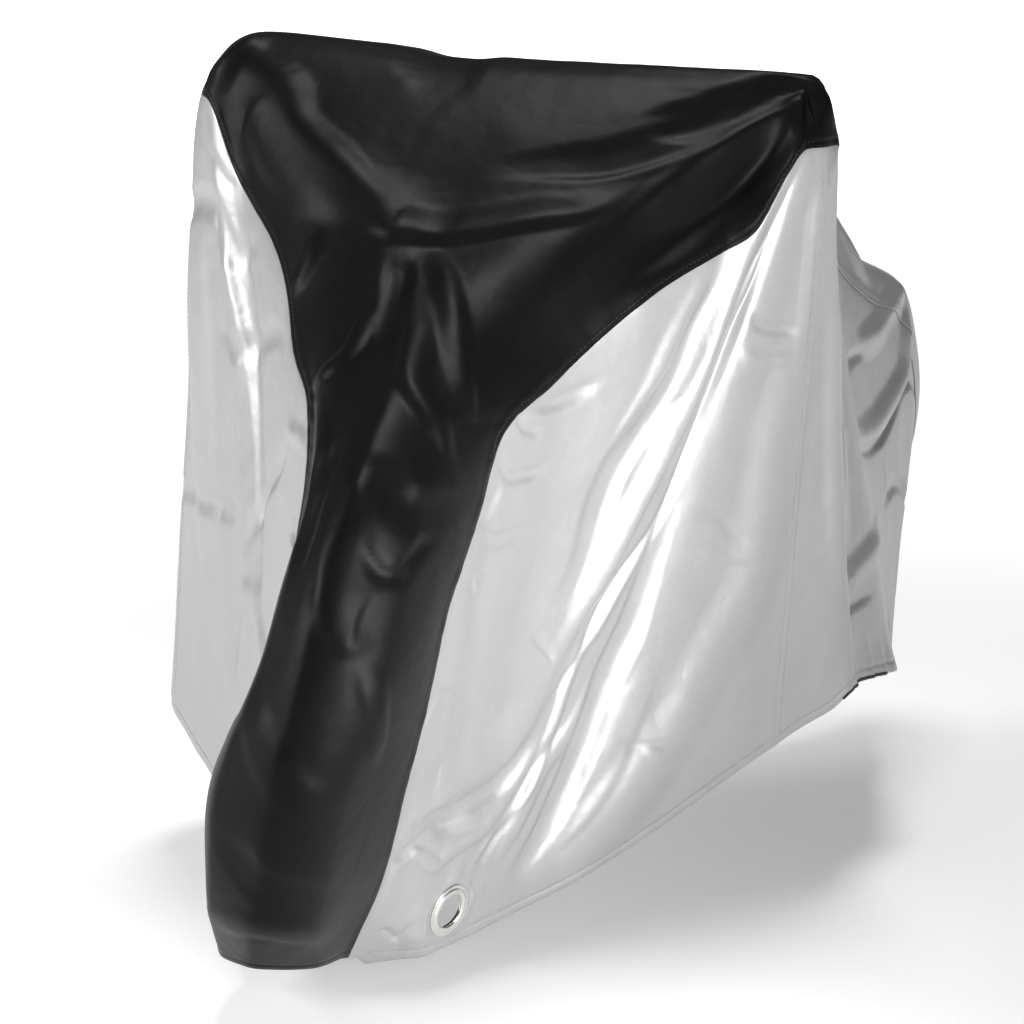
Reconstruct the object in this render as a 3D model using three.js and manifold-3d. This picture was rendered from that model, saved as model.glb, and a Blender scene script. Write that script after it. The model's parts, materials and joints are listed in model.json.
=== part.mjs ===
// A fitted cover for one bicycle, draped as it hangs over a leaning bicycle with its front wheel turned.
// Black cloth runs over the front, the handlebar and the saddle; silver cloth makes the sides and the tail.
// Millimetres, +Z up. The front looks along -Y and the bicycle's left side along +X. Sections are written
// on an upright, straight bicycle whose front axle stands at y = 0 and whose ground is z = 0, and are then
// steered and leaned. The origin is under the cloth's top, at the middle of the handlebar that holds it up.
import * as THREE from 'three';
import Module from 'manifold-3d';
import { mergeVertices } from 'three/addons/utils/BufferGeometryUtils.js';

const wasm = await Module();
wasm.setup();

// ---- driving dimensions -----------------------------------------------------------------------------
const CLOTH = 2; // thickness of the cloth with its coating and seam turnings
const SEAM_GAP = 0.8; // between one panel and the next
const STEER_ANGLE = THREE.MathUtils.degToRad(27); // the front wheel and handlebar turn to the left
const LEAN_SLOPE = 0.0794; // sideways travel for each unit of height, towards the stand
const STEERING_AXIS = { foot: -70, slope: 0.364, top: 1020 }; // y at the ground, y gained per z, bar height
const HANDLEBAR_MIDDLE = new THREE.Vector3(80, 305, 1000); // on the ground's frame; the part's origin

// Shares of the way across a half section, from the ridge (0) by the seam (1) to the hem (2).
const CENTRE_CELLS = 5; // cells from the ridge to a seam
const SIDE_CELLS = 10; // cells from a seam to the eyelet patch's upper edge
const PATCH_TOP = 1.775; // the eyelet patch's upper edge
const PATCH_CELLS = 3; // cells from there to the hem

const TAIL_SEAM = 16; // section where the black top gives way to the silver tail
const SIDE_SEAM = 10; // section where the front and rear side panels are sewn together
const PATCH = { from: 3, to: 7 }; // sections between which the eyelet patch lies

// An eyelet's middle on the cloth, its diameters, the diameter cut in the cloth and its play there.
const EYELET = { section: 5.05, across: 1.925, hole: 38, rim: 62, cut: 43, flange: 1.8, play: 0.6 };
const EYELET_SIDES = 24;
const FLAT_AROUND_EYELET = { inner: 50, outer: 66 }; // the cloth is flat this far round an eyelet
const FOLD_FADE = 0.3; // share of its length over which a fold dies out at each end

// One row for each section from the front hem to the tail hem, on the upright bicycle. The ridge is the
// middle line [y, z]; the shoulder, seam and hem are [x, y, z] of the left side, mirrored on the right.
// "slip" is how far the cloth has slid to the left at the shoulder, seam and hem, "turn" the share of the
// steering that the section follows, and "cells" the number of cells up to the next section.
const SECTION_COLUMNS = ['ridge', 'shoulder', 'seam', 'hem', 'slip', 'turn', 'cells'];
const SECTIONS = [
  [[-245, 120], [46, -200, 108], [68, -90, 76], [76, -36, 42], [10, 8, 16], 1, 3],
  [[-332, 225], [56, -298, 218], [86, -130, 195], [84, -24, 42], [10, 14, 16], 1, 3],
  [[-362, 345], [62, -325, 335], [97, -170, 320], [90, -14, 43], [6, 8, 16], 1, 3],
  [[-338, 500], [60, -300, 485], [79, -170, 470], [95, -5, 44], [20, 27, 16], 1, 3],
  [[-285, 610], [55, -245, 600], [89, -120, 590], [102, 8, 45], [18, 23, 16], 1, 3],
  [[-190, 690], [60, -150, 680], [100, -70, 670], [113, 32, 47], [10, 12, 16], 1, 4],
  [[-60, 755], [85, -20, 745], [138, 20, 710], [130, 66, 50], [6, 7, 17], 1, 5],
  [[80, 830], [105, 105, 860], [203, 120, 795], [152, 115, 58], [14, 18, 18], 0.95, 5],
  [[195, 945], [240, 215, 942], [290, 230, 862], [170, 160, 70], [12, 15, 26], 0.9, 5],
  [[272, 1005], [305, 272, 1008], [338, 258, 950], [213, 222, 98], [14, 0, 31], 0.85, 8],
  [[305, 1015], [314, 298, 1022], [358, 290, 952], [390, 440, 198], [14, 0, 8], 0.8, 3],
  [[335, 1013], [312, 325, 1020], [364, 318, 953], [411, 475, 216], [13, 0, 4], 0.75, 3],
  [[375, 1006], [302, 360, 1005], [362, 355, 947], [418, 515, 232], [8, 0, 0], 0.65, 4],
  [[470, 990], [240, 460, 965], [320, 450, 900], [392, 570, 254], [0, 0, 0], 0.45, 4],
  [[640, 975], [120, 630, 950], [215, 600, 850], [308, 678, 248], [0, 0, 0], 0.2, 4],
  [[820, 962], [75, 815, 938], [135, 790, 830], [238, 805, 236], [0, 0, 0], 0, 3],
  [[925, 855], [62, 915, 840], [108, 880, 760], [190, 920, 214], [0, 0, 0], 0, 3],
  [[1085, 745], [50, 1078, 735], [78, 1050, 690], [142, 1015, 194], [0, 0, 0], 0, 3],
  [[1245, 690], [40, 1236, 682], [60, 1200, 640], [106, 1090, 176], [0, 0, 0], 0, 4],
  [[1335, 520], [36, 1325, 512], [56, 1280, 490], [84, 1150, 158], [0, 0, 0], 0, 3],
  [[1292, 335], [34, 1282, 332], [52, 1232, 325], [60, 1130, 142], [0, 0, 0], 0, 3],
  [[1168, 150], [32, 1159, 146], [46, 1136, 138], [48, 1108, 122], [0, 0, 0], 0, 0],
].map((row) => Object.fromEntries(row.map((value, column) => [SECTION_COLUMNS[column], value])));

// One row for each main fold: its way over the cloth as [section, share across], with the right side's
// shares negative, its half width, and how far it stands out (or in, when negative).
const FOLDS = [
  // the roof over the handlebar and the front
  { way: [[8.2, 0.25], [10.2, 0.25], [12.5, 0.2]], width: 130, depth: -20 },
  { way: [[7.0, 0.1], [7.0, 0.35], [7.45, 0.6], [8.9, 0.58]], width: 34, depth: 12 },
  { way: [[8.3, -0.5], [7.6, -0.6], [7.15, -0.66], [6.85, -0.46], [6.9, -0.1]], width: 30, depth: 12 },
  { way: [[6.2, 0.86], [7.35, 0.86], [8.6, 0.82]], width: 46, depth: -16 },
  { way: [[7.1, -0.1], [5.6, 0.08], [5.05, 0.34], [4.25, 0.82]], width: 24, depth: 11 },
  { way: [[6.5, 0.3], [5.9, 0.42], [5.2, 0.66]], width: 30, depth: -10 },
  { way: [[5.3, -0.95], [5.75, -0.42], [6.6, -0.4]], width: 24, depth: 10 },
  { way: [[6.3, -0.15], [5.3, -0.2], [4.8, -0.5]], width: 26, depth: -9 },
  { way: [[4.8, -0.3], [4.45, 0.1], [4.2, 0.5]], width: 22, depth: 8 },
  { way: [[3.55, 0.25], [3.65, 0.5], [3.85, 0.8]], width: 18, depth: -8 },
  { way: [[4.0, -0.2], [3.45, 0.18], [3.0, 0.3]], width: 24, depth: 8 },
  { way: [[2.7, -0.6], [2.2, 0.0], [1.9, 0.5]], width: 34, depth: 5 },
  // the fan that hangs from the left grip
  { way: [[9.1, 1.02], [8.0, 1.14], [7.75, 1.3], [7.3, 1.46], [6.9, 1.6]], width: 34, depth: 14 },
  { way: [[8.7, 1.12], [8.15, 1.3], [7.7, 1.48], [7.05, 1.62], [6.7, 1.72]], width: 28, depth: -9 },
  { way: [[8.1, 1.06], [7.55, 1.22], [7.1, 1.42], [6.5, 1.52]], width: 38, depth: -12 },
  { way: [[8.4, 1.3], [7.85, 1.52], [7.25, 1.66], [7.0, 1.78]], width: 28, depth: 7 },
  { way: [[8.7, 1.36], [8.15, 1.54], [7.7, 1.7], [7.5, 1.84]], width: 34, depth: -9 },
  { way: [[9.8, 1.15], [9.6, 1.5], [9.3, 1.8], [9.15, 1.97]], width: 60, depth: 14 },
  { way: [[9.35, 1.2], [9.1, 1.5], [8.6, 1.78]], width: 44, depth: -8 },
  { way: [[7.3, 1.6], [6.5, 1.68], [5.15, 1.68], [2.2, 1.25]], width: 40, depth: -11 },
  { way: [[6.8, 1.8], [5.4, 1.78], [3.65, 1.72], [1.2, 1.3]], width: 34, depth: 8 },
  { way: [[8.1, 1.68], [7.6, 1.78], [7.0, 1.93]], width: 36, depth: 9 },
  { way: [[4.7, 1.06], [5.65, 1.2], [6.4, 1.22]], width: 34, depth: -10 },
  { way: [[3.9, 1.16], [5.2, 1.26], [6.3, 1.32]], width: 34, depth: 9 },
  { way: [[9.0, 1.5], [9.65, 1.64]], width: 32, depth: -8 },
  { way: [[8.8, 1.25], [9.9, 1.34]], width: 32, depth: -7 },
  // the fan that hangs from the right grip, and the slacker right side
  { way: [[9.0, -1.04], [8.2, -1.25], [7.9, -1.5], [7.6, -1.78]], width: 42, depth: 12 },
  { way: [[8.6, -1.1], [7.8, -1.2], [7.3, -1.4], [6.9, -1.62]], width: 38, depth: -11 },
  { way: [[9.7, -1.15], [9.5, -1.5], [9.2, -1.8]], width: 56, depth: 12 },
  { way: [[10.6, -1.26], [9.2, -1.18], [7.3, -1.06]], width: 36, depth: -7 },
  { way: [[10.4, -1.64], [9.3, -1.55], [8.2, -1.46]], width: 40, depth: -8 },
  { way: [[5.8, -1.16], [6.6, -1.34], [7.7, -1.5]], width: 36, depth: 8 },
  { way: [[7.9, -1.54], [6.0, -1.5], [3.6, -1.25]], width: 36, depth: 9 },
  { way: [[7.2, -1.78], [5.6, -1.64], [3.0, -1.35]], width: 38, depth: -9 },
  // behind the handlebar: troughs that run down from the bar ends and the saddle, on both sides
  { way: [[12.2, 1.05], [13.2, 1.35], [13.6, 1.7], [13.8, 1.95]], width: 60, depth: -16 },
  { way: [[12.1, -1.05], [13.0, -1.35], [13.5, -1.7], [13.7, -1.95]], width: 60, depth: -15 },
  { way: [[15.2, 1.0], [14.5, 1.35], [14.2, 1.75]], width: 44, depth: 12 },
  { way: [[15.0, -1.0], [14.6, -1.4], [14.4, -1.8]], width: 44, depth: 12 },
  { way: [[12.4, 0.6], [13.5, 0.75], [15.0, 0.85]], width: 46, depth: -12 },
  { way: [[12.4, -0.6], [13.6, -0.7], [15.0, -0.8]], width: 46, depth: -12 },
  // the tail
  { way: [[17.9, 0.4], [18.15, 1.14], [16.85, 1.38], [15.0, 1.5]], width: 50, depth: 12 },
  { way: [[15.3, 1.3], [16.6, 1.1], [18.0, 0.8]], width: 44, depth: 9 },
  { way: [[15.0, 1.56], [17.0, 1.4], [19.0, 1.1]], width: 44, depth: -10 },
  { way: [[15.2, 1.7], [17.2, 1.56], [19.2, 1.36]], width: 46, depth: 10 },
  { way: [[15.4, 0.9], [16.8, 0.7], [18.0, 0.2]], width: 48, depth: -8 },
  { way: [[16.2, -0.1], [17.2, -0.5], [18.2, -0.9]], width: 46, depth: 9 },
  { way: [[15.3, -1.25], [16.8, -1.15], [18.4, -0.9]], width: 46, depth: -10 },
  { way: [[18.2, -0.6], [17.6, -1.35], [15.6, -1.55]], width: 50, depth: 11 },
  { way: [[15.0, -1.78], [17.0, -1.62], [19.4, -1.25]], width: 46, depth: -9 },
];

// ---- the draped surface -----------------------------------------------------------------------------
const KNOTS_PER_SHARE = 2; // control columns stand at every half share across

// Passes smoothly through evenly spaced knots and never overshoots one.
function smoothThrough(knots, t) {
  const last = knots.length - 1;
  const i = Math.min(Math.max(Math.floor(t), 0), last - 1);
  const f = t - i;
  const rise = (k) => knots[k + 1] - knots[k];
  const slope = (k) => {
    if (k === 0) return rise(0);
    if (k === last) return rise(last - 1);
    const before = rise(k - 1);
    const after = rise(k);
    return before * after > 0 ? (2 * before * after) / (before + after) : 0;
  };
  const start = (1 + 2 * f) * (1 - f) ** 2 * knots[i] + f * (1 - f) ** 2 * slope(i);
  return start + f * f * (3 - 2 * f) * knots[i + 1] + f * f * (f - 1) * slope(i + 1);
}

function smoothPoint(points, t) {
  const along = (axis) => smoothThrough(points.map((p) => p.getComponent(axis)), t);
  return new THREE.Vector3(along(0), along(1), along(2));
}

// Turns a point of the upright section about the steering axis and leans it. Cloth that hangs free below a
// seam takes the lean of the seam above it.
function steerAndLean(point, hangsFrom, turn) {
  const axisY = STEERING_AXIS.foot + STEERING_AXIS.slope * Math.min(point.z, STEERING_AXIS.top);
  const posed = point.clone();
  posed.y -= axisY;
  posed.applyAxisAngle(new THREE.Vector3(0, 0, 1), STEER_ANGLE * turn);
  posed.y += axisY;
  posed.x += LEAN_SLOPE * (hangsFrom === null ? point.z : hangsFrom);
  if (hangsFrom === null) posed.z -= LEAN_SLOPE * point.x;
  return posed;
}

// The ridge, shoulder, seam, waist and hem of one half section. The waist hangs halfway down the side.
function halfSection(row, side) {
  const place = ([x, y, z], slip, hangsFrom) =>
    steerAndLean(new THREE.Vector3(side * x + slip, y, z), hangsFrom, row.turn);
  const [atShoulder, atSeam, atHem] = row.slip;
  const waist = row.seam.map((value, axis) => (value + row.hem[axis]) / 2);
  return [
    place([0, ...row.ridge], 0, null),
    place(row.shoulder, atShoulder, null),
    place(row.seam, atSeam, null),
    place(waist, (atSeam + atHem) / 2, row.seam[2]),
    place(row.hem, atHem, row.seam[2]),
  ];
}

// All control columns of a section, from the right hem over the ridge to the left hem.
function wholeSection(row) {
  return [...halfSection(row, -1).reverse(), ...halfSection(row, 1).slice(1)];
}

const CONTROL_ROWS = SECTIONS.map(wholeSection);
const CONTROL_COLUMNS = CONTROL_ROWS[0].map((_, column) => CONTROL_ROWS.map((row) => row[column]));

// The cloth's middle surface at a section number and a share across (-2 to 2), before its folds.
function drape(section, across) {
  const row = CONTROL_COLUMNS.map((column) => smoothPoint(column, section));
  return smoothPoint(row, (across + 2) * KNOTS_PER_SHARE);
}

function drapeNormal(section, across) {
  const step = 0.02;
  const last = SECTIONS.length - 1;
  const lower = drape(Math.max(section - step, 0), across);
  const upper = drape(Math.min(section + step, last), across);
  const right = drape(section, Math.max(across - step, -2));
  const left = drape(section, Math.min(across + step, 2));
  return left.sub(right).cross(upper.sub(lower)).normalize();
}

const even = (count, from, to) => Array.from({ length: count }, (_, i) => from + ((to - from) * i) / count);
const STATIONS = [...SECTIONS.flatMap((row, i) => even(row.cells, i, i + 1)), SECTIONS.length - 1];
const HALF_SHARES = [
  ...even(CENTRE_CELLS, 0, 1), ...even(SIDE_CELLS, 1, PATCH_TOP), ...even(PATCH_CELLS, PATCH_TOP, 2), 2,
];
const SHARES = [...HALF_SHARES.slice(1).reverse().map((share) => -share), ...HALF_SHARES];

const smoothStep = (t) => THREE.MathUtils.smoothstep(t, 0, 1);

// How far a fold moves a point of the cloth along the cloth's normal.
function foldHeight(fold, point) {
  let nearest = { distance: Infinity, along: 0 };
  const legs = fold.points.length - 1;
  for (let leg = 0; leg < legs; leg += 1) {
    const line = new THREE.Line3(fold.points[leg], fold.points[leg + 1]);
    const share = line.closestPointToPointParameter(point, true);
    const distance = line.at(share, new THREE.Vector3()).distanceTo(point);
    if (distance < nearest.distance) nearest = { distance, along: (leg + share) / legs };
  }
  const offside = nearest.distance / fold.width;
  if (offside >= 1) return 0;
  const fade = Math.min(nearest.along, 1 - nearest.along) / FOLD_FADE;
  return fold.depth * (1 - offside ** 2) ** 2 * smoothStep(Math.min(fade, 1));
}

const PLACED_FOLDS = FOLDS.map((fold) => ({
  ...fold,
  points: fold.way.map(([section, across]) => drape(section, across)),
}));

// The eyelets' seats: a centre and a direction out of the cloth on each side.
const SEATS = [-1, 1].map((side) => ({
  side,
  centre: drape(EYELET.section, side * EYELET.across),
  out: drapeNormal(EYELET.section, side * EYELET.across),
}));

function flattenRoundEyelets(point, across) {
  const seat = SEATS[across < 0 ? 0 : 1];
  const { inner, outer } = FLAT_AROUND_EYELET;
  const offset = point.clone().sub(seat.centre);
  const flat = 1 - smoothStep((offset.length() - inner) / (outer - inner));
  return point.addScaledVector(seat.out, -offset.dot(seat.out) * flat);
}

// The grid of the whole cover: MIDDLE[i][j] at STATIONS[i] and SHARES[j].
const MIDDLE = STATIONS.map((section) => SHARES.map((across) => {
  const point = drape(section, across);
  const out = drapeNormal(section, across);
  const height = PLACED_FOLDS.reduce((sum, fold) => sum + foldHeight(fold, point), 0);
  return flattenRoundEyelets(point.addScaledVector(out, height), across);
}));

function cellNormal(i, j) {
  const across = MIDDLE[i][j + 1].clone().sub(MIDDLE[i + 1][j]);
  const along = MIDDLE[i + 1][j + 1].clone().sub(MIDDLE[i][j]);
  return across.cross(along).normalize();
}

const NORMALS = MIDDLE.map((row, i) => row.map((_, j) => {
  const sum = new THREE.Vector3();
  for (const a of [i - 1, i]) {
    for (const b of [j - 1, j]) {
      const inside = a >= 0 && b >= 0 && a < MIDDLE.length - 1 && b < row.length - 1;
      if (inside) sum.add(cellNormal(a, b));
    }
  }
  return sum.normalize();
}));

// ---- panels -----------------------------------------------------------------------------------------
// A closed sheet over every cell (i, j) for which covers(section, across) is true at the cell's middle.
// Its edges stand back by half of the seam gap.
function panelGeometry(covers) {
  const middleOf = (list, i) => (list[i] + list[i + 1]) / 2;
  const isCell = (i, j) => i >= 0 && j >= 0 && i < STATIONS.length - 1 && j < SHARES.length - 1
    && covers(middleOf(STATIONS, i), middleOf(SHARES, j));
  const key = (i, j) => i * SHARES.length + j;
  const inward = new Map(); // inward directions of the edges that meet at a vertex
  const edges = []; // edges of the outline, with the panel on their left seen from outside
  const faces = [];
  for (let i = 0; i < STATIONS.length - 1; i += 1) {
    for (let j = 0; j < SHARES.length - 1; j += 1) {
      if (!isCell(i, j)) continue;
      const corners = [[i, j], [i, j + 1], [i + 1, j + 1], [i + 1, j]];
      const [a, b, c, d] = corners.map(([p, q]) => MIDDLE[p][q]);
      const keys = corners.map(([p, q]) => key(p, q));
      const first = a.distanceTo(c) <= b.distanceTo(d) ? 0 : 1;
      faces.push([keys[first], keys[first + 1], keys[first + 2]]);
      faces.push([keys[first], keys[first + 2], keys[(first + 3) % 4]]);
      const neighbours = [[i - 1, j], [i, j + 1], [i + 1, j], [i, j - 1]];
      const centre = a.clone().add(b).add(c).add(d).multiplyScalar(0.25);
      neighbours.forEach(([p, q], side) => {
        if (isCell(p, q)) return;
        const ends = [corners[side], corners[(side + 1) % 4]];
        const [start, end] = ends.map(([m, n]) => MIDDLE[m][n]);
        const line = end.clone().sub(start).normalize();
        const toCentre = centre.clone().sub(start);
        const into = toCentre.addScaledVector(line, -toCentre.dot(line)).normalize();
        edges.push(ends.map(([m, n]) => key(m, n)));
        for (const [m, n] of ends) inward.set(key(m, n), [...(inward.get(key(m, n)) ?? []), into]);
      });
    }
  }
  const used = [...new Set(faces.flat())];
  const index = new Map(used.map((k, at) => [k, at]));
  const shell = (offset) => used.flatMap((k) => {
    const [i, j] = [Math.floor(k / SHARES.length), k % SHARES.length];
    const point = MIDDLE[i][j].clone().addScaledVector(NORMALS[i][j], offset);
    const [one, other] = inward.get(k) ?? [];
    if (one) point.addScaledVector(one.clone().add(other), SEAM_GAP / 2 / (1 + one.dot(other)));
    return point.toArray();
  });
  const back = used.length;
  const triangles = [
    ...faces.flatMap((face) => face.map((k) => index.get(k))),
    ...faces.flatMap((face) => face.map((k) => index.get(k) + back).reverse()),
    ...edges.flatMap(([from, to]) => {
      const [p, q] = [index.get(from), index.get(to)];
      return [q, p, p + back, q, p + back, q + back];
    }),
  ];
  const geometry = new THREE.BufferGeometry();
  const positions = [...shell(CLOTH / 2), ...shell(-CLOTH / 2)];
  geometry.setAttribute('position', new THREE.Float32BufferAttribute(positions, 3));
  geometry.setIndex(triangles);
  return geometry;
}

const onPatch = (section, across) =>
  section > PATCH.from && section < PATCH.to && Math.abs(across) > PATCH_TOP;
const onCentre = (across) => Math.abs(across) < 1;

// ---- eyelets ----------------------------------------------------------------------------------------
const UP_THE_LATHE = new THREE.Vector3(0, 1, 0); // a lathe or cylinder stands along its own +Y

function toManifold(geometry) {
  const plain = geometry.index ? geometry.toNonIndexed() : geometry.clone();
  plain.deleteAttribute('normal');
  plain.deleteAttribute('uv');
  const merged = mergeVertices(plain, 1e-3);
  return new wasm.Manifold(new wasm.Mesh({
    numProp: 3,
    vertProperties: new Float32Array(merged.attributes.position.array),
    triVerts: new Uint32Array(merged.index.array),
  }));
}

function fromManifold(solid) {
  const { vertProperties, triVerts } = solid.getMesh();
  const geometry = new THREE.BufferGeometry();
  geometry.setAttribute('position', new THREE.Float32BufferAttribute(vertProperties, 3));
  geometry.setIndex([...triVerts]);
  return geometry;
}

const PUNCH_DEPTH = 40;

function punchEyelet(geometry, seat) {
  const punch = new THREE.CylinderGeometry(EYELET.cut / 2, EYELET.cut / 2, PUNCH_DEPTH, EYELET_SIDES);
  punch.applyQuaternion(new THREE.Quaternion().setFromUnitVectors(UP_THE_LATHE, seat.out));
  punch.translate(...seat.centre.toArray());
  return fromManifold(toManifold(geometry).subtract(toManifold(punch)));
}

// A rolled eyelet: a barrel through the cloth with a rounded flange over each face, turned as one ring.
function eyeletGeometry() {
  const [hole, rim, barrel] = [EYELET.hole / 2, EYELET.rim / 2, EYELET.cut / 2 - EYELET.play];
  const under = CLOTH / 2 + EYELET.play;
  const edge = under + EYELET.flange / 2;
  const crown = under + EYELET.flange * 1.3;
  const outerHalf = [[hole, under], [(hole + barrel) / 2, crown], [rim - EYELET.flange, edge + 0.4],
    [rim, edge], [rim - EYELET.flange / 2, under], [barrel, under]];
  const innerHalf = outerHalf.map(([radius, height]) => [radius, -height]).reverse();
  const outline = [...outerHalf, ...innerHalf, outerHalf[0]];
  const points = outline.map(([radius, height]) => new THREE.Vector2(radius, height)).reverse();
  return new THREE.LatheGeometry(points, EYELET_SIDES);
}

// ---- the cover --------------------------------------------------------------------------------------
const BLACK = { color: 0x1b1b1d, roughness: 0.6, metalness: 0 };
const SILVER = { color: 0xb9b9bb, roughness: 0.42, metalness: 0.35 };
const METAL = { color: 0xd6d6d3, roughness: 0.3, metalness: 0.9 };

const cover = new THREE.Group();

function addPiece(name, geometry, finish, parent = cover) {
  const piece = new THREE.Mesh(geometry, new THREE.MeshStandardMaterial(finish));
  piece.name = name;
  parent.add(piece);
  return piece;
}

addPiece('centre_front', panelGeometry((s, a) => onCentre(a) && s < TAIL_SEAM), BLACK);
addPiece('centre_rear', panelGeometry((s, a) => onCentre(a) && s > TAIL_SEAM), SILVER);

for (const seat of SEATS) {
  const name = seat.side > 0 ? 'left' : 'right';
  const onSide = (across) => across * seat.side > 1;
  const front = panelGeometry((s, a) => onSide(a) && s < SIDE_SEAM && !onPatch(s, a));
  const rear = panelGeometry((s, a) => onSide(a) && s > SIDE_SEAM);
  const patch = panelGeometry((s, a) => onSide(a) && onPatch(s, a));
  addPiece(`front_side_${name}`, front, SILVER);
  addPiece(`rear_side_${name}`, rear, SILVER);
  addPiece(`eyelet_patch_${name}`, punchEyelet(patch, seat), SILVER);
  const ring = addPiece(`eyelet_ring_${name}`, eyeletGeometry(), METAL);
  ring.position.copy(seat.centre);
  ring.quaternion.setFromUnitVectors(UP_THE_LATHE, seat.out);
}

cover.position.copy(HANDLEBAR_MIDDLE).negate();

export default cover;
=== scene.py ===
"""Looks for a fitted bicycle cover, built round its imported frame.

The cover is cut from coated cloth: a black panel over the front, the handlebar and the saddle, silver panels
on the sides and the tail. It hangs over a leaning bicycle whose front wheel is turned. Every panel is one
sheet on the same draped surface, so that seams, stitches, eyelets and hems all find their place from it.
Lengths in the tables are millimetres on the ground's frame of the bicycle; meshes are metres in the part's.
"""

import json
import logging
import math
from dataclasses import dataclass, field
from enum import Enum

import bmesh
import bpy
import numpy as np
from mathutils import Matrix, Vector

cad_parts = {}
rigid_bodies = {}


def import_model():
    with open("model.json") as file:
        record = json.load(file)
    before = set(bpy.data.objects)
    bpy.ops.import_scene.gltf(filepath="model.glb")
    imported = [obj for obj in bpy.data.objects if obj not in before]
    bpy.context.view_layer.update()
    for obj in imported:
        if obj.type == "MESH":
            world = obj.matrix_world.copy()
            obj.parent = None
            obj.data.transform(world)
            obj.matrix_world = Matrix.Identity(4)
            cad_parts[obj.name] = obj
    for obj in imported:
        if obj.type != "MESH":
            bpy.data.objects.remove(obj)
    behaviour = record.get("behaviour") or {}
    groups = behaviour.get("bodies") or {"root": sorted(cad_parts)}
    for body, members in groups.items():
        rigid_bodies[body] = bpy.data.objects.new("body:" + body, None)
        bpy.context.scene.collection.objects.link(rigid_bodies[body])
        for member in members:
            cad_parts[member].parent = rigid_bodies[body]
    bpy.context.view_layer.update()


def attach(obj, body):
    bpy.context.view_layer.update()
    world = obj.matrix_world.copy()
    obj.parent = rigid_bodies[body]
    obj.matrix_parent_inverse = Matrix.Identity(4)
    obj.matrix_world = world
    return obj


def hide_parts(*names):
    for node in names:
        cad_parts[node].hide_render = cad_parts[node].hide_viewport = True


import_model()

LOG = logging.getLogger("bicycle_cover")
MM = 0.001

# ---- driving sizes of the drape (millimetres) ----------------------------------------------------------
STEER_ANGLE = math.radians(27)  # the front wheel and handlebar turn to the left
LEAN_SLOPE = 0.0794  # sideways travel for each unit of height, towards the stand
STEER_FOOT = -70.0  # where the steering axis meets the ground, along y
STEER_SLOPE = 0.364  # how far that axis runs back for each unit of height
STEER_TOP = 1020.0  # the bar's height, above which the axis runs upright
HANDLEBAR_MIDDLE = np.array([80.0, 305.0, 1000.0])  # the part's origin on the ground's frame
CLOTH = 1.1  # thickness of the coated cloth
SEAM, HEM = 1.0, 2.0  # shares across a half of the cover at which the side seam and the hem lie
SIDE_SEAM, TAIL_SEAM, TAIL_HEM = 10, 16, 21  # sections of the upright seams, the tail seam, the tail hem


class Crest(Enum):
    """How a fold's crest is creased: its rounding as a share of the fold's width, and its fullness."""

    SOFT = (1.0, 2.0)
    FIRM = (0.4, 1.0)
    SHARP = (0.14, 0.3)


@dataclass(frozen=True)
class Section:
    """One section of the cover, on the upright bicycle; x is mirrored on the right side.

    The ridge is the middle line (y, z). Slip is how far the cloth has slid to the left at the shoulder, seam
    and hem. Turn is the share of the steering that the section follows. Rows is the number of rows of cloth
    up to the next section.
    """

    ridge: tuple[float, float]
    shoulder: tuple[float, float, float]
    seam: tuple[float, float, float]
    hem: tuple[float, float, float]
    slip: tuple[float, float, float]
    turn: float
    rows: int


@dataclass(frozen=True)
class Fold:
    """One fold or crease, along a way of (section, share across); the right side's shares are negative.

    Left and right are the widths of its flanks for one who walks along the way on the outside of the cloth.
    """

    way: tuple[tuple[float, float], ...]
    rise: float
    left: float
    right: float
    crest: Crest = Crest.SOFT


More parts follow.
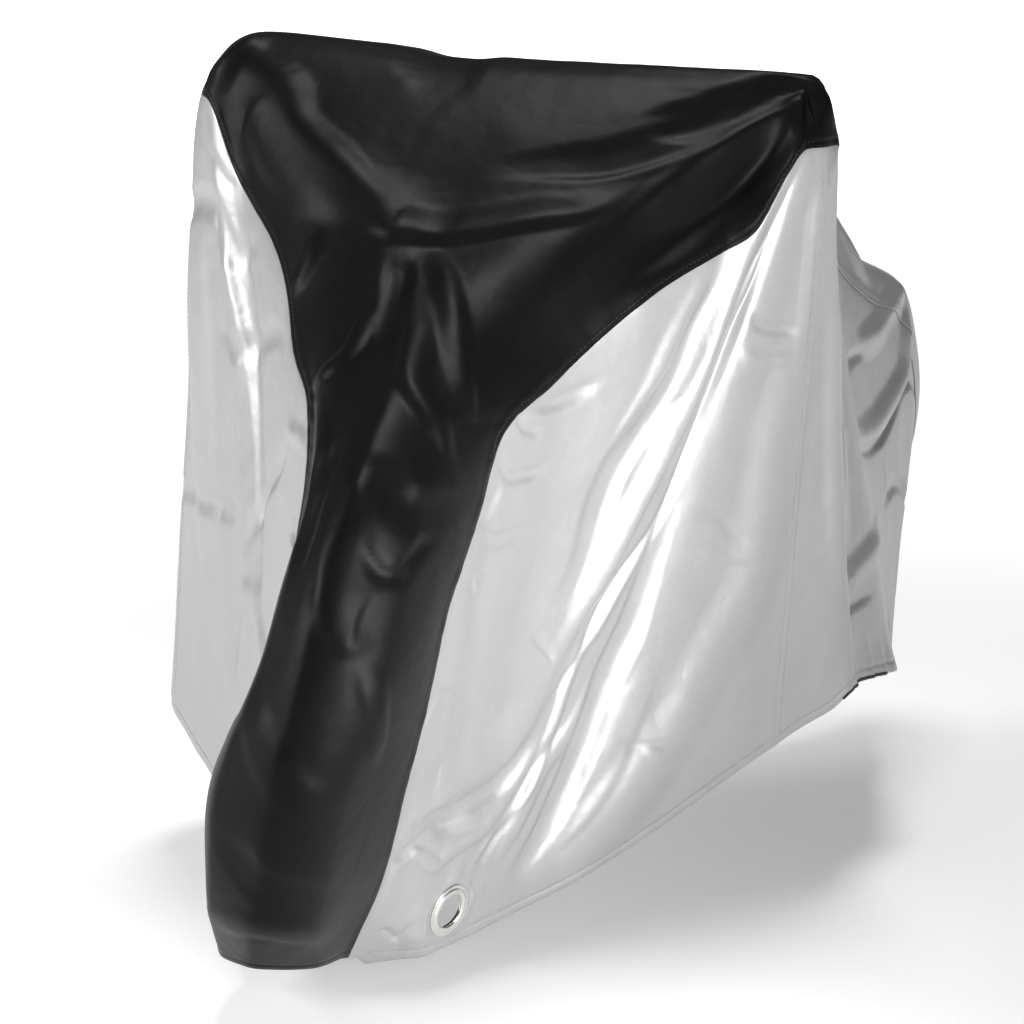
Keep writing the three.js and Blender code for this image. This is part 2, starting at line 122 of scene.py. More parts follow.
SECTIONS = (
    Section((-245, 120), (46, -200, 108), (68, -90, 76), (76, -36, 42), (10, 8, 16), 1, 20),
    Section((-332, 225), (56, -298, 218), (86, -130, 195), (84, -24, 42), (10, 14, 16), 1, 20),
    Section((-362, 345), (62, -325, 335), (97, -170, 320), (90, -14, 43), (6, 8, 16), 1, 26),
    Section((-338, 500), (60, -300, 485), (79, -170, 470), (95, -5, 44), (20, 27, 16), 1, 22),
    Section((-285, 610), (55, -245, 600), (89, -120, 590), (102, 8, 45), (18, 23, 16), 1, 24),
    Section((-190, 690), (60, -150, 680), (100, -70, 670), (113, 32, 47), (10, 12, 16), 1, 26),
    Section((-60, 755), (85, -20, 745), (138, 20, 710), (130, 66, 50), (6, 7, 17), 1, 30),
    Section((80, 830), (105, 105, 860), (203, 120, 795), (152, 115, 58), (14, 18, 18), 0.95, 32),
    Section((195, 945), (240, 215, 942), (290, 230, 862), (170, 160, 70), (12, 15, 26), 0.9, 26),
    Section((272, 1005), (305, 272, 1008), (338, 258, 950), (213, 222, 98), (14, 0, 31), 0.85, 30),
    Section((305, 1015), (314, 298, 1022), (358, 290, 952), (390, 440, 198), (14, 0, 8), 0.8, 8),
    Section((335, 1013), (312, 325, 1020), (364, 318, 953), (411, 475, 216), (13, 0, 4), 0.75, 9),
    Section((375, 1006), (302, 360, 1005), (362, 355, 947), (418, 515, 232), (8, 0, 0), 0.65, 18),
    Section((470, 990), (240, 460, 965), (320, 450, 900), (392, 570, 254), (0, 0, 0), 0.45, 28),
    Section((640, 975), (120, 630, 950), (215, 600, 850), (308, 678, 248), (0, 0, 0), 0.2, 28),
    Section((820, 962), (75, 815, 938), (135, 790, 830), (238, 805, 236), (0, 0, 0), 0, 24),
    Section((925, 855), (62, 915, 840), (108, 880, 760), (190, 920, 214), (0, 0, 0), 0, 28),
    Section((1085, 745), (50, 1078, 735), (78, 1050, 690), (142, 1015, 194), (0, 0, 0), 0, 26),
    Section((1245, 690), (40, 1236, 682), (60, 1200, 640), (106, 1090, 176), (0, 0, 0), 0, 28),
    Section((1335, 520), (36, 1325, 512), (56, 1280, 490), (84, 1150, 158), (0, 0, 0), 0, 28),
    Section((1292, 335), (34, 1282, 332), (52, 1232, 325), (60, 1130, 142), (0, 0, 0), 0, 30),
    Section((1168, 150), (32, 1159, 146), (46, 1136, 138), (48, 1108, 122), (0, 0, 0), 0, 0),
)

FIRM, SHARP = Crest.FIRM, Crest.SHARP

ROOF_FOLDS = (
    Fold(((8.6, -0.76), (8.25, -0.54), (7.7, -0.64), (7.35, -0.62), (6.9, -0.54)), 9, 50, 60),
    Fold(((6.9, -0.6), (6.85, -0.4), (7.0, -0.18), (7.1, 0.08), (7.1, 0.42), (7.3, 0.56)), 8.2, 45, 20, FIRM),
    Fold(((7.02, -0.16), (6.5, -0.12), (6.05, -0.04), (5.55, 0.08), (5.15, 0.28), (4.85, 0.46), (4.15, 0.86)),
         6.8, 30, 16, FIRM),
    Fold(((7.0, -0.14), (6.7, 0.04), (6.0, 0.24), (5.45, 0.44), (5.05, 0.72)), 6, 17, 26, FIRM),
    Fold(((6.95, -0.76), (6.7, -0.86), (6.55, -0.98)), 4.5, 18, 12, FIRM),
    Fold(((6.25, -0.36), (5.8, -0.42), (5.3, -0.98)), 5.2, 20, 14),
    Fold(((6.75, -0.32), (6.35, -0.22), (5.8, -0.18)), -3.8, 20, 20),
    Fold(((8.15, 0.24), (8.3, 0.32), (8.55, 0.36), (10.5, 0.46)), -6, 30, 30),
    Fold(((7.6, 0.02), (7.7, 0.28), (8.35, 0.4), (10.0, 0.46)), -5.2, 36, 20),
    Fold(((7.05, 0.7), (7.65, 0.68), (8.35, 0.58), (9.5, 0.5)), 6.8, 35, 35),
    Fold(((6.3, 0.8), (7.15, 0.86), (7.9, 0.78), (8.5, 0.72), (9.5, 0.6), (11.5, 0.5)), -16.5, 60, 30, FIRM),
    Fold(((9.3, 0.5), (9.0, 0.66), (8.8, 0.94), (8.5, 1.02)), 7.5, 9, 30, SHARP),
    Fold(((10.4, 0.4), (11.0, 0.55), (12.05, 0.72), (12.4, 0.95)), 3.8, 12, 12, FIRM),
    Fold(((10.2, 0.5), (10.5, 0.72), (10.7, 0.98)), 3, 10, 14, FIRM),
    Fold(((9.6, -0.45), (9.0, -0.66), (8.7, -0.96)), 6, 26, 16, FIRM),
    Fold(((8.1, -0.1), (9.3, -0.12), (11.0, -0.1), (12.6, -0.05)), -6, 60, 60),
    Fold(((12.2, -0.4), (13.4, -0.3), (14.8, -0.2)), -6, 46, 40),
    Fold(((12.2, 0.35), (13.2, 0.3), (14.6, 0.15)), 5.2, 36, 40),
)
FRONT_FOLDS = (
    Fold(((4.65, -0.24), (4.5, 0.16), (4.3, 0.3), (4.2, 0.4), (4.15, 0.6), (4.15, 0.84)), -5.6, 28, 40, FIRM),
    Fold(((3.95, 0.16), (3.7, 0.26), (3.6, 0.35), (3.6, 0.42), (3.75, 0.5), (3.85, 0.62), (3.75, 0.8)),
         -5.6, 16, 20, SHARP),
    Fold(((4.15, -0.3), (3.45, 0.06), (3.3, 0.1), (3.1, 0.18), (3.05, 0.26), (3.1, 0.38)), 5.6, 50, 18, FIRM),
    Fold(((2.95, 0.3), (2.6, 0.5), (2.2, 0.66)), 3.5, 26, 18),
    Fold(((2.7, -0.6), (2.2, 0.0), (1.9, 0.5)), 2.8, 30, 30),
    Fold(((1.6, -0.5), (1.2, 0.1), (0.9, 0.7)), -2.8, 34, 30),
    Fold(((0.6, -0.7), (0.75, 0.0), (0.5, 0.7)), 2.8, 26, 22),
    Fold(((5.3, -0.9), (4.6, -0.62), (3.7, -0.55)), 4.2, 22, 16, FIRM),
    Fold(((4.9, -0.3), (4.2, -0.5), (3.4, -0.35)), -4.2, 22, 22),
)
NEAR_SIDE_FOLDS = (
    Fold(((9.0, 0.8), (8.75, 0.98), (8.25, 1.0), (7.85, 1.1), (7.8, 1.26), (7.7, 1.32), (7.5, 1.4),
          (7.3, 1.48), (7.05, 1.54), (6.7, 1.63)), 11.7, 15, 34, FIRM),
    Fold(((8.5, 1.1), (8.35, 1.18), (8.2, 1.22), (8.15, 1.28), (8.0, 1.42), (7.45, 1.52), (7.2, 1.6),
          (6.65, 1.67)), -6.2, 15, 7, SHARP),
    Fold(((7.85, 1.0), (7.6, 1.12), (7.5, 1.22), (7.3, 1.26), (7.0, 1.34), (6.95, 1.42), (6.6, 1.5)),
         -9, 24, 30),
    Fold(((7.7, 1.0), (7.35, 1.16), (7.2, 1.24), (6.85, 1.3)), 4.8, 14, 24),
    Fold(((8.3, 1.3), (7.95, 1.44), (7.5, 1.56), (7.25, 1.6), (7.1, 1.7), (6.85, 1.78), (6.0, 1.84),
          (5.4, 1.88)), 4.1, 9, 12, FIRM),
    Fold(((8.1, 1.4), (8.05, 1.58), (7.85, 1.66), (7.75, 1.76), (7.45, 1.87), (6.75, 1.94)), -7.6, 34, 18),
    Fold(((7.3, 1.68), (6.85, 1.76), (6.4, 1.82), (5.85, 1.88)), -4.1, 12, 12, FIRM),
    Fold(((7.8, 1.62), (7.5, 1.72), (7.1, 1.76), (6.8, 1.83), (6.4, 1.9)), 3.4, 14, 16),
    Fold(((9.9, 1.06), (9.75, 1.32), (9.6, 1.46), (9.6, 1.64), (9.4, 1.76), (9.25, 1.84), (8.95, 1.9),
          (8.15, 1.95), (7.0, 1.98)), 10.3, 70, 50, FIRM),
    Fold(((9.0, 1.7), (8.6, 1.84), (7.75, 1.93)), 3.4, 20, 40),
    Fold(((8.8, 1.5), (9.25, 1.54), (9.4, 1.58), (9.58, 1.62)), -3.4, 8, 10, SHARP),
    Fold(((9.1, 1.57), (9.35, 1.61), (9.58, 1.64)), 2.8, 10, 8, SHARP),
    Fold(((8.7, 1.26), (9.3, 1.3), (9.75, 1.32)), -3.4, 10, 13, FIRM),
    Fold(((8.8, 1.3), (9.3, 1.34), (9.72, 1.35)), 2.1, 9, 14),
    Fold(((6.3, 1.48), (6.65, 1.54), (6.88, 1.58)), -2.8, 6, 8, SHARP),
    Fold(((8.5, 1.79), (9.1, 1.84), (9.28, 1.86)), -2.8, 9, 9, SHARP),
    Fold(((9.0, 1.83), (9.15, 1.86), (9.28, 1.89)), 2.1, 8, 6, SHARP),
    Fold(((6.95, 1.6), (6.6, 1.64), (6.15, 1.68), (5.7, 1.68), (3.5, 1.6), (1.4, 1.1)), 6.2, 24, 60, FIRM),
    Fold(((6.9, 1.67), (6.1, 1.73), (4.6, 1.72), (2.4, 1.5)), -6.2, 22, 18),
    Fold(((0.95, 1.02), (2.45, 1.56), (4.65, 1.75), (5.75, 1.78)), -4.1, 14, 14),
    Fold(((0.9, 1.3), (4.05, 1.79), (5.8, 1.8), (6.5, 1.77)), 3.4, 12, 14),
    Fold(((0.4, 1.52), (2.05, 1.88), (3.2, 1.88)), -2.8, 9, 9, SHARP),
    Fold(((5.45, 1.02), (6.1, 1.1), (6.65, 1.14)), -4.8, 12, 18, FIRM),
    Fold(((5.2, 1.01), (5.5, 1.1), (5.9, 1.14)), -3.4, 9, 11),
    Fold(((4.55, 1.04), (5.25, 1.18), (5.65, 1.2), (6.25, 1.22)), -4.8, 10, 15, FIRM),
    Fold(((3.8, 1.04), (4.6, 1.18), (5.1, 1.18)), -3.4, 12, 12),
    Fold(((3.9, 1.16), (5.25, 1.28), (6.1, 1.3)), -3.4, 13, 13),
    Fold(((3.9, 1.2), (4.6, 1.29), (5.35, 1.34)), -2.8, 8, 9, SHARP),
    Fold(((3.15, 1.08), (4.0, 1.22), (4.4, 1.3)), -2.8, 11, 12),
    Fold(((2.2, 1.1), (3.2, 1.3), (4.0, 1.45)), 2.8, 18, 18),
    Fold(((12.2, 0.95), (10.6, 1.08), (9.8, 1.16), (9.78, 1.3), (9.78, 1.5)), 4.1, 14, 20, FIRM),
    Fold(((8.4, 1.72), (9.4, 1.78), (9.85, 1.9)), 0.8, 6, 6, SHARP),
)
FAR_SIDE_FOLDS = (
    Fold(((10.65, -1.26), (9.6, -1.2), (8.35, -1.18), (7.3, -1.04)), -4.2, 18, 24),
    Fold(((9.25, -1.14), (8.45, -1.1), (8.0, -1.03)), -3, 10, 14, FIRM),
    Fold(((10.5, -1.64), (9.4, -1.56), (8.55, -1.5)), -3.6, 16, 20),
    Fold(((5.6, -1.18), (6.35, -1.28), (7.0, -1.36), (8.0, -1.52)), -6, 18, 24, FIRM),
    Fold(((8.3, -1.52), (8.7, -1.62), (9.05, -1.72), (9.25, -1.84)), -5.4, 20, 24, FIRM),
    Fold(((8.4, -1.6), (7.6, -1.54), (6.85, -1.5)), 3, 18, 20, FIRM),
    Fold(((9.25, -1.34), (7.9, -1.26), (6.2, -1.06)), -3, 18, 20),
    Fold(((9.0, -1.04), (8.2, -1.25), (7.9, -1.5), (7.6, -1.78)), 7.2, 40, 30, FIRM),
    Fold(((8.6, -1.1), (7.8, -1.2), (7.3, -1.4), (6.9, -1.62)), -6.6, 30, 26),
    Fold(((9.7, -1.15), (9.5, -1.5), (9.2, -1.85)), 7.2, 50, 56),
    Fold(((7.9, -1.56), (6.0, -1.52), (3.6, -1.25)), 5.4, 30, 24, FIRM),
    Fold(((7.2, -1.78), (5.6, -1.66), (3.0, -1.35)), -5.4, 26, 30),
    Fold(((4.4, -1.04), (5.2, -1.14), (6.0, -1.18)), 3.6, 12, 16, FIRM),
    Fold(((3.4, -1.06), (4.4, -1.22), (5.4, -1.3)), -3.6, 14, 14),
    Fold(((2.6, -1.12), (3.6, -1.34), (4.8, -1.5)), 3, 16, 18),
    Fold(((6.6, -1.72), (5.0, -1.86), (3.4, -1.9)), 3, 16, 16),
)
TAIL_FOLDS = (
    Fold(((12.2, 1.05), (13.2, 1.35), (13.6, 1.7), (13.8, 1.95)), -12.8, 60, 50),
    Fold(((12.1, -1.05), (13.0, -1.35), (13.5, -1.7), (13.7, -1.95)), -12, 50, 60),
    Fold(((15.2, 1.0), (14.5, 1.35), (14.2, 1.75)), 9.6, 40, 30, FIRM),
    Fold(((15.0, -1.0), (14.6, -1.4), (14.4, -1.8)), 9.6, 30, 40, FIRM),
    Fold(((12.4, 0.6), (13.5, 0.75), (15.0, 0.85)), -9.6, 40, 34),
    Fold(((12.4, -0.6), (13.6, -0.7), (15.0, -0.8)), -9.6, 34, 40),
    Fold(((11.6, 1.2), (12.2, 1.5), (12.6, 1.85)), 6.4, 26, 30, FIRM),
    Fold(((11.6, -1.2), (12.3, -1.5), (12.7, -1.85)), 6.4, 30, 26, FIRM),
    Fold(((15.6, 0.2), (16.4, 0.5), (17.2, 0.9)), 5.6, 26, 30, FIRM),
    Fold(((15.6, -0.2), (16.5, -0.45), (17.4, -0.8)), 5.6, 30, 26, FIRM),
    Fold(((16.4, 1.22), (17.3, 1.1), (18.1, 0.5)), 8.8, 26, 34, FIRM),
    Fold(((18.0, 0.56), (18.15, 1.14), (16.9, 1.38), (15.05, 1.5)), 9.6, 30, 34, FIRM),
    Fold(((15.05, 1.52), (17.4, 1.38), (18.95, 0.98)), -6.4, 18, 14, SHARP),
    Fold(((17.1, 1.58), (18.1, 1.48), (19.2, 1.36)), -4.8, 16, 16, FIRM),
    Fold(((17.1, 1.6), (14.6, 1.76), (13.05, 1.84)), 7.2, 26, 26, FIRM),
    Fold(((12.9, 1.84), (14.0, 1.84), (14.95, 1.82)), -4.8, 12, 12, FIRM),
    Fold(((15.3, 1.36), (16.0, 1.28), (16.85, 1.2)), -4, 12, 14, FIRM),
    Fold(((16.2, -0.1), (17.2, -0.5), (18.2, -0.9)), 7.2, 36, 36),
    Fold(((15.3, -1.25), (16.8, -1.15), (18.4, -0.9)), -8, 34, 30, FIRM),
    Fold(((18.2, -0.6), (17.6, -1.35), (15.6, -1.55)), 8.8, 34, 30, FIRM),
    Fold(((15.0, -1.78), (17.0, -1.62), (19.4, -1.25)), -7.2, 30, 30, FIRM),
    Fold(((16.0, -1.5), (15.0, -1.66), (13.6, -1.8)), 6.4, 24, 22, FIRM),
    Fold(((19.2, -0.9), (19.6, 0.0), (19.3, 0.9)), -4, 26, 26),
    Fold(((20.2, -0.8), (20.0, 0.1), (20.3, 0.8)), 3.2, 20, 20),
)
FOLDS = ROOF_FOLDS + FRONT_FOLDS + NEAR_SIDE_FOLDS + FAR_SIDE_FOLDS + TAIL_FOLDS

EYELET_SECTION, EYELET_SHARE = 5.05, 1.925  # where the eyelet of each side sits
CLOTH_CUT = 21.8  # radius of the hole in the cloth
TURN = math.tau


def smooth_step(value: np.ndarray) -> np.ndarray:
    """Ease from 0 to 1 and hold outside that range."""
    held = np.clip(value, 0, 1)
    return held * held * (3 - 2 * held)


def unit(vectors: np.ndarray) -> np.ndarray:
    """Scale each row vector to length 1."""
    return vectors / np.maximum(np.linalg.norm(vectors, axis=-1, keepdims=True), 1e-9)


def walked(line: np.ndarray) -> np.ndarray:
    """Measure the way along a line of places up to each of them."""
    return np.concatenate([[0], np.cumsum(np.linalg.norm(np.diff(line, axis=0), axis=1))])


def dot(one: np.ndarray, other: np.ndarray) -> np.ndarray:
    """Multiply row vectors, keeping the last axis."""
    return (one * other).sum(-1, keepdims=True)


def knot_slopes(knots: np.ndarray) -> np.ndarray:
    """Give evenly spaced knots (first axis) slopes that never overshoot one."""
    rise = np.diff(knots, axis=0)
    before, after = rise[:-1], rise[1:]
    total = np.where(before + after == 0, 1, before + after)
    inner = np.where(before * after > 0, 2 * before * after / total, 0)
    return np.concatenate([rise[:1], inner, rise[-1:]])


def through(knots: np.ndarray, at: np.ndarray, rows: np.ndarray | None = None) -> np.ndarray:
    """Pass smoothly through evenly spaced knots.

    Args:
        knots: The knots along the first axis.
        at: The place of each wanted value, in knots from the first.
        rows: The second index that goes with each value of at, where each has its own knots.

    Returns:
        One value for each entry of at.
    """
    slopes = knot_slopes(knots)
    low = np.clip(np.floor(at).astype(int), 0, len(knots) - 2)
    here = (low,) if rows is None else (low, rows)
    onward = (low + 1,) if rows is None else (low + 1, rows)
    f = (at - low).reshape(-1, *[1] * (knots[here].ndim - 1))
    start = (1 + 2 * f) * (1 - f) ** 2 * knots[here] + f * (1 - f) ** 2 * slopes[here]
    return start + f * f * (3 - 2 * f) * knots[onward] + f * f * (f - 1) * slopes[onward]


class Lattice:
    """Smooth random values over space, the same on every run."""

    SIZE = 32

    def __init__(self, seed: int) -> None:
        """Fill the lattice."""
        self.values = np.random.default_rng(seed).uniform(-1, 1, (self.SIZE,) * 3)

    def at(self, points: np.ndarray) -> np.ndarray:
        """Read the lattice between its nodes.

        Args:
            points: Places in cells of the lattice, one row each.

        Returns:
            A value from -1 to 1 for each place.
        """
        low = np.floor(points).astype(int)
        part = points - low
        part = part * part * (3 - 2 * part)
        total = np.zeros(len(points))
        for corner in np.ndindex(2, 2, 2):
            cell = (low + corner) % self.SIZE
            share = np.where(np.array(corner) == 1, part, 1 - part).prod(1)
            total += share * self.values[cell[:, 0], cell[:, 1], cell[:, 2]]
        return total


@dataclass
class Creases:
    """The folds of the cover, placed on its bare drape."""

    lattice: Lattice = field(default_factory=lambda: Lattice(11))
    fine: Lattice = field(default_factory=lambda: Lattice(23))
    ways: list = field(default_factory=list)

    FADE = 0.3  # share of a fold's length over which it dies out at each end
    STEPS = 6  # points along each leg of a fold
    END_WIDTH = 0.6  # share of its width that a fold keeps at its ends
    PASSAGE = 0.4  # share of the mean width over which one flank's width passes into the other's
    TALL_CELL = np.array([70.0, 80.0, 150.0])  # cells of the ridged creases
    SMALL_CELL = np.array([34.0, 38.0, 60.0])  # cells of the small creases
    SOFT_CELL = 190.0  # cells of the soft waves
    RIDGED_HEIGHT, SMALL_HEIGHT, SOFT_HEIGHT = 1.0, 0.34, 2.2
    APART = 3.7  # cells between the ridged creases and the lattice's corner

    def lay(self, folds: tuple[Fold, ...], drape: "Drape") -> None:
        """Lay each fold's way on the drape as a smooth line."""
        for fold in folds:
            way = np.array(fold.way)
            legs = len(way) - 1
            at = np.linspace(0, legs, legs * self.STEPS + 1)
            smooth = through(way, at)
            line = drape.bare(smooth[:, 0], smooth[:, 1])
            self.ways.append((fold, line, at / legs))

    def height(self, points: np.ndarray, out: np.ndarray) -> np.ndarray:
        """Tell how far the folds lift each point of the cloth."""
        total = np.zeros(len(points))
        for fold, line, along in self.ways:
            reach = max(fold.left, fold.right)
            near = ((points > line.min(0) - reach) & (points < line.max(0) + reach)).all(1)
            index = np.flatnonzero(near)
            if len(index):
                total[index] += self._one(fold, line, along, points[index], out[index])
        return total

    def _one(self, fold: Fold, line: np.ndarray, along: np.ndarray, points: np.ndarray,
             out: np.ndarray) -> np.ndarray:
        """Lift the points near one fold."""
        start, leg = line[:-1], np.diff(line, axis=0)
        offset = points[:, None] - start[None]
        share = np.clip((offset * leg).sum(-1) / (leg * leg).sum(-1), 0, 1)
        gap = offset - share[..., None] * leg
        nearest = np.linalg.norm(gap, axis=-1).argmin(1)
        rows = np.arange(len(points))
        gap, share, leg = gap[rows, nearest], share[rows, nearest], leg[nearest]
        place = along[nearest] + share * (along[nearest + 1] - along[nearest])
        leftward = (np.cross(out, unit(leg)) * gap).sum(-1)
        fade = smooth_step(np.minimum(place, 1 - place) / self.FADE)
        flank = np.where(leftward > 0, fold.left, fold.right) * (self.END_WIDTH + (1 - self.END_WIDTH) * fade)
        mean = (fold.left + fold.right) / 2
        width = mean + (flank - mean) * smooth_step(np.abs(leftward) / (self.PASSAGE * mean) + 0.5)
        rounding, fullness = fold.crest.value
        u = np.clip(np.linalg.norm(gap, axis=-1) / width, 0, 1)
        v = (np.sqrt(u * u + rounding**2) - rounding) / (math.sqrt(1 + rounding**2) - rounding)
        return fold.rise * fade * (1 - v) ** 2 * (1 + fullness * v)

    def crumple(self, points: np.ndarray, slack: np.ndarray) -> np.ndarray:
        """Add the small creases of packed cloth, deeper where it is slack."""
        ridged = 1 - 2 * np.abs(self.lattice.at(points / self.TALL_CELL + self.APART))
        small = 1 - 2 * np.abs(self.fine.at(points / self.SMALL_CELL))
        soft = self.fine.at(points / self.SOFT_CELL)
        return slack * (self.RIDGED_HEIGHT * ridged + self.SMALL_HEIGHT * small + self.SOFT_HEIGHT * soft)


class Drape:
    """The cloth's middle surface, by section from the front hem to the tail hem and by share across."""

    TABLE_STEP = 0.05  # sections between the rows of the smoothed columns
    BLUR = 0.13  # sections over which the control columns are smoothed
    KNOTS = 2  # control columns for each share across
    STEP = 0.03  # sections or shares over which a direction is measured
    SLACK = ((0, 0.9, 1.1, 2), (0.7, 0.5, 0.8, 1.0))  # shares across, and how slack the cloth is there
    PUCKER_CELL, PUCKER_SLANT = 8.5, 34.0  # their spacing along the seam, and how steeply they lean
    PUCKER_DEPTH, PUCKER_BUNCH = 300.0, 40.0  # cells across the seam, and of the reach along it
    PUCKER_REACH, PUCKER_SPREAD = 26.0, 14.0  # how far the puckers run from the seam, and how that varies
    PUCKERS = ((0, 1.6, 2.4, 5.2, 7, 9, 12, 16, 21),  # sections, and the puckers' height at each
               (0.5, 1.2, 2.2, 2.2, 1.1, 0.7, 0.8, 0.8, 0.6))
    FAR_SIDE, BELOW_SEAM = 0.6, 0.3  # shares of their height on the right side, and below the seam
    GATHER_START, GATHER_FADE = 12.8, 1.2  # sections where the elastic starts and over which it takes hold
    GATHER_CELL, GATHER_HEIGHT, GATHER_REACH = 15.0, 6.5, 85.0  # spacing, height, distance from the hem
    CORNER_CLEAR, CORNER_FADE = 25.0, 60.0  # no gathers so near to both hems, and how far they take to return
    HEM_PACE, TAIL_PACE = 110.0, 60.0  # way along the side hem for a section, the tail hem for a share
    FLAT_RADIUS, FLAT_FADE = 36.0, 34.0  # of the cloth held flat round an eyelet
    RING_RADIUS, RING_WIDTH, RING_HEIGHT = 35.5, 2.6, 0.8  # of the low ring pressed up round it
    PLEAT_START, PLEAT_FADE, PLEAT_HEIGHT = 31.0, 8.0, 0.7  # of the pleats that the rim presses in

    def __init__(self) -> None:
        """Set the control columns, lay the folds and seat the eyelets."""
        self.control = np.array([self._whole_section(row) for row in SECTIONS])
        self.table = self._smoothed(self.control)
        self.last = len(SECTIONS) - 1
        self.seats = {side: self._seat(side) for side in (-1, 1)}
        self.creases = Creases()
        self.creases.lay(FOLDS, self)

    @staticmethod
    def _steered(point: np.ndarray, hangs_from: float | None, turn: float) -> np.ndarray:
        """Turn a point of the upright section about the steering axis and lean it.

        Args:
            point: The place on the upright bicycle.
            hangs_from: The height whose lean it takes, or None for its own.
            turn: The share of the steering that it follows.

        Returns:
            The place on the leaning bicycle, in the part's frame.
        """
        x, y, z = point
        axis_y = STEER_FOOT + STEER_SLOPE * min(z, STEER_TOP)
        angle = STEER_ANGLE * turn
        ahead = y - axis_y
        turned_x = x * math.cos(angle) - ahead * math.sin(angle)
        turned_y = x * math.sin(angle) + ahead * math.cos(angle) + axis_y
        leaned_x = turned_x + LEAN_SLOPE * (z if hangs_from is None else hangs_from)
        leaned_z = z - (LEAN_SLOPE * turned_x if hangs_from is None else 0)
        return np.array([leaned_x, turned_y, leaned_z]) - HANDLEBAR_MIDDLE

    @classmethod
    def _half_section(cls, row: Section, side: int) -> list[np.ndarray]:
        """Place the ridge, shoulder, seam, waist and hem of one half of a section."""
        mirror = np.array([side, 1, 1])
        waist = (np.array(row.seam) + row.hem) / 2
        at_shoulder, at_seam, at_hem = row.slip
        places = (
            (np.array([0.0, *row.ridge]), 0.0, None),
            (np.array(row.shoulder) * mirror, at_shoulder, None),
            (np.array(row.seam) * mirror, at_seam, None),
            (waist * mirror, (at_seam + at_hem) / 2, row.seam[2]),
            (np.array(row.hem) * mirror, at_hem, row.seam[2]),
        )
        return [cls._steered(point + np.array([slip, 0, 0]), hangs_from, row.turn)
                for point, slip, hangs_from in places]

    @classmethod
    def _whole_section(cls, row: Section) -> list[np.ndarray]:
        """Place a section's control points from the right hem over the ridge to the left hem."""
        return cls._half_section(row, -1)[::-1] + cls._half_section(row, 1)[1:]

    @classmethod
    def _smoothed(cls, control: np.ndarray) -> np.ndarray:
        """Blur the control columns along the sections, holding both hems in place."""
        count = round((len(control) - 1) / cls.TABLE_STEP)
        table = through(control, np.arange(count + 1) * cls.TABLE_STEP)
        reach = round(3 * cls.BLUR / cls.TABLE_STEP)
        steps = np.arange(-reach, reach + 1)
        kernel = np.exp(-0.5 * (steps * cls.TABLE_STEP / cls.BLUR) ** 2)
        kernel /= kernel.sum()
        before = 2 * table[:1] - table[reach:0:-1]
        after = 2 * table[-1:] - table[-2:-reach - 2:-1]
        padded = np.concatenate([before, table, after])
        return sum(k * padded[i:i + len(table)] for i, k in enumerate(kernel))

    def bare(self, section: np.ndarray, share: np.ndarray) -> np.ndarray:
        """Give the cloth's places before its folds, in millimetres."""
        columns = through(self.table, np.clip(section, 0, self.last) / self.TABLE_STEP)
        knots = np.moveaxis(columns, 1, 0)
        return through(knots, (np.clip(share, -HEM, HEM) + HEM) * self.KNOTS, np.arange(len(section)))

    def outward(self, section: np.ndarray, share: np.ndarray) -> np.ndarray:
        """Give the bare cloth's outward directions."""
        along = self.bare(section + self.STEP, share) - self.bare(section - self.STEP, share)
        across = self.bare(section, share + self.STEP) - self.bare(section, share - self.STEP)
        return unit(np.cross(across, along))

    def rates(self, section: np.ndarray, share: np.ndarray) -> tuple[np.ndarray, np.ndarray]:
        """Give the millimetres of cloth for one section and for one share, at each place."""
        low, high = np.maximum(section - self.STEP, 0), np.minimum(section + self.STEP, self.last)
        right, left = np.maximum(share - self.STEP, -HEM), np.minimum(share + self.STEP, HEM)
        along = np.linalg.norm(self.bare(high, share) - self.bare(low, share), axis=1) / (high - low)
        across = np.linalg.norm(self.bare(section, left) - self.bare(section, right), axis=1) / (left - right)
        return along, across

    def shares_at(self, section: float, low: float, high: float, ways: np.ndarray) -> np.ndarray:
        """Find the shares that lie at given distances across one section.

        Args:
            section: The section.
            low: The share from which a positive distance is measured.
            high: The share from which the rest are measured.
            ways: Rows of (distance from low, distance from high, share of the way between those two places).

        Returns:
            One share for each row.
        """
        samples = np.linspace(-HEM, HEM, 241)
        lengths = walked(self.bare(np.full(len(samples), section), samples))
        first, last = np.interp([low, high], samples, lengths)
        start, end = first + ways[:, 0], last - ways[:, 1]
        return np.interp(start + (end - start) * ways[:, 2], lengths, samples)

    def _seat(self, side: int) -> tuple[np.ndarray, np.ndarray]:
        """Find an eyelet's middle and the direction that it faces, on the columns before their smoothing."""
        at = np.array([EYELET_SECTION])
        across = np.array([side * EYELET_SHARE])
        held, self.table = self.table, through(
            self.control, np.arange(len(self.table)) * self.TABLE_STEP)
        centre, out = self.bare(at, across)[0], self.outward(at, across)[0]
        self.table = held
        return centre, out

    def shape(self, section: np.ndarray, share: np.ndarray, lift: np.ndarray | float = 0.0) -> np.ndarray:
        """Give the finished places of the cloth, with its folds.

        Args:
            section: The section of each place.
            share: The share across of each place.
            lift: How far each place stands out of the cloth's middle surface.

        Returns:
            The places in millimetres, in the part's frame.
        """
        points = self.bare(section, share)
        out = self.outward(section, share)
        height = self.creases.height(points, out)
        height += self.creases.crumple(points, np.interp(np.abs(share), *self.SLACK))
        height += self._puckers(section, share) + self._gathers(section, share)
        shaped = points + out * height[:, None]
        shaped = self._flattened(shaped, share)
        return shaped + out * np.reshape(lift, (-1, 1))

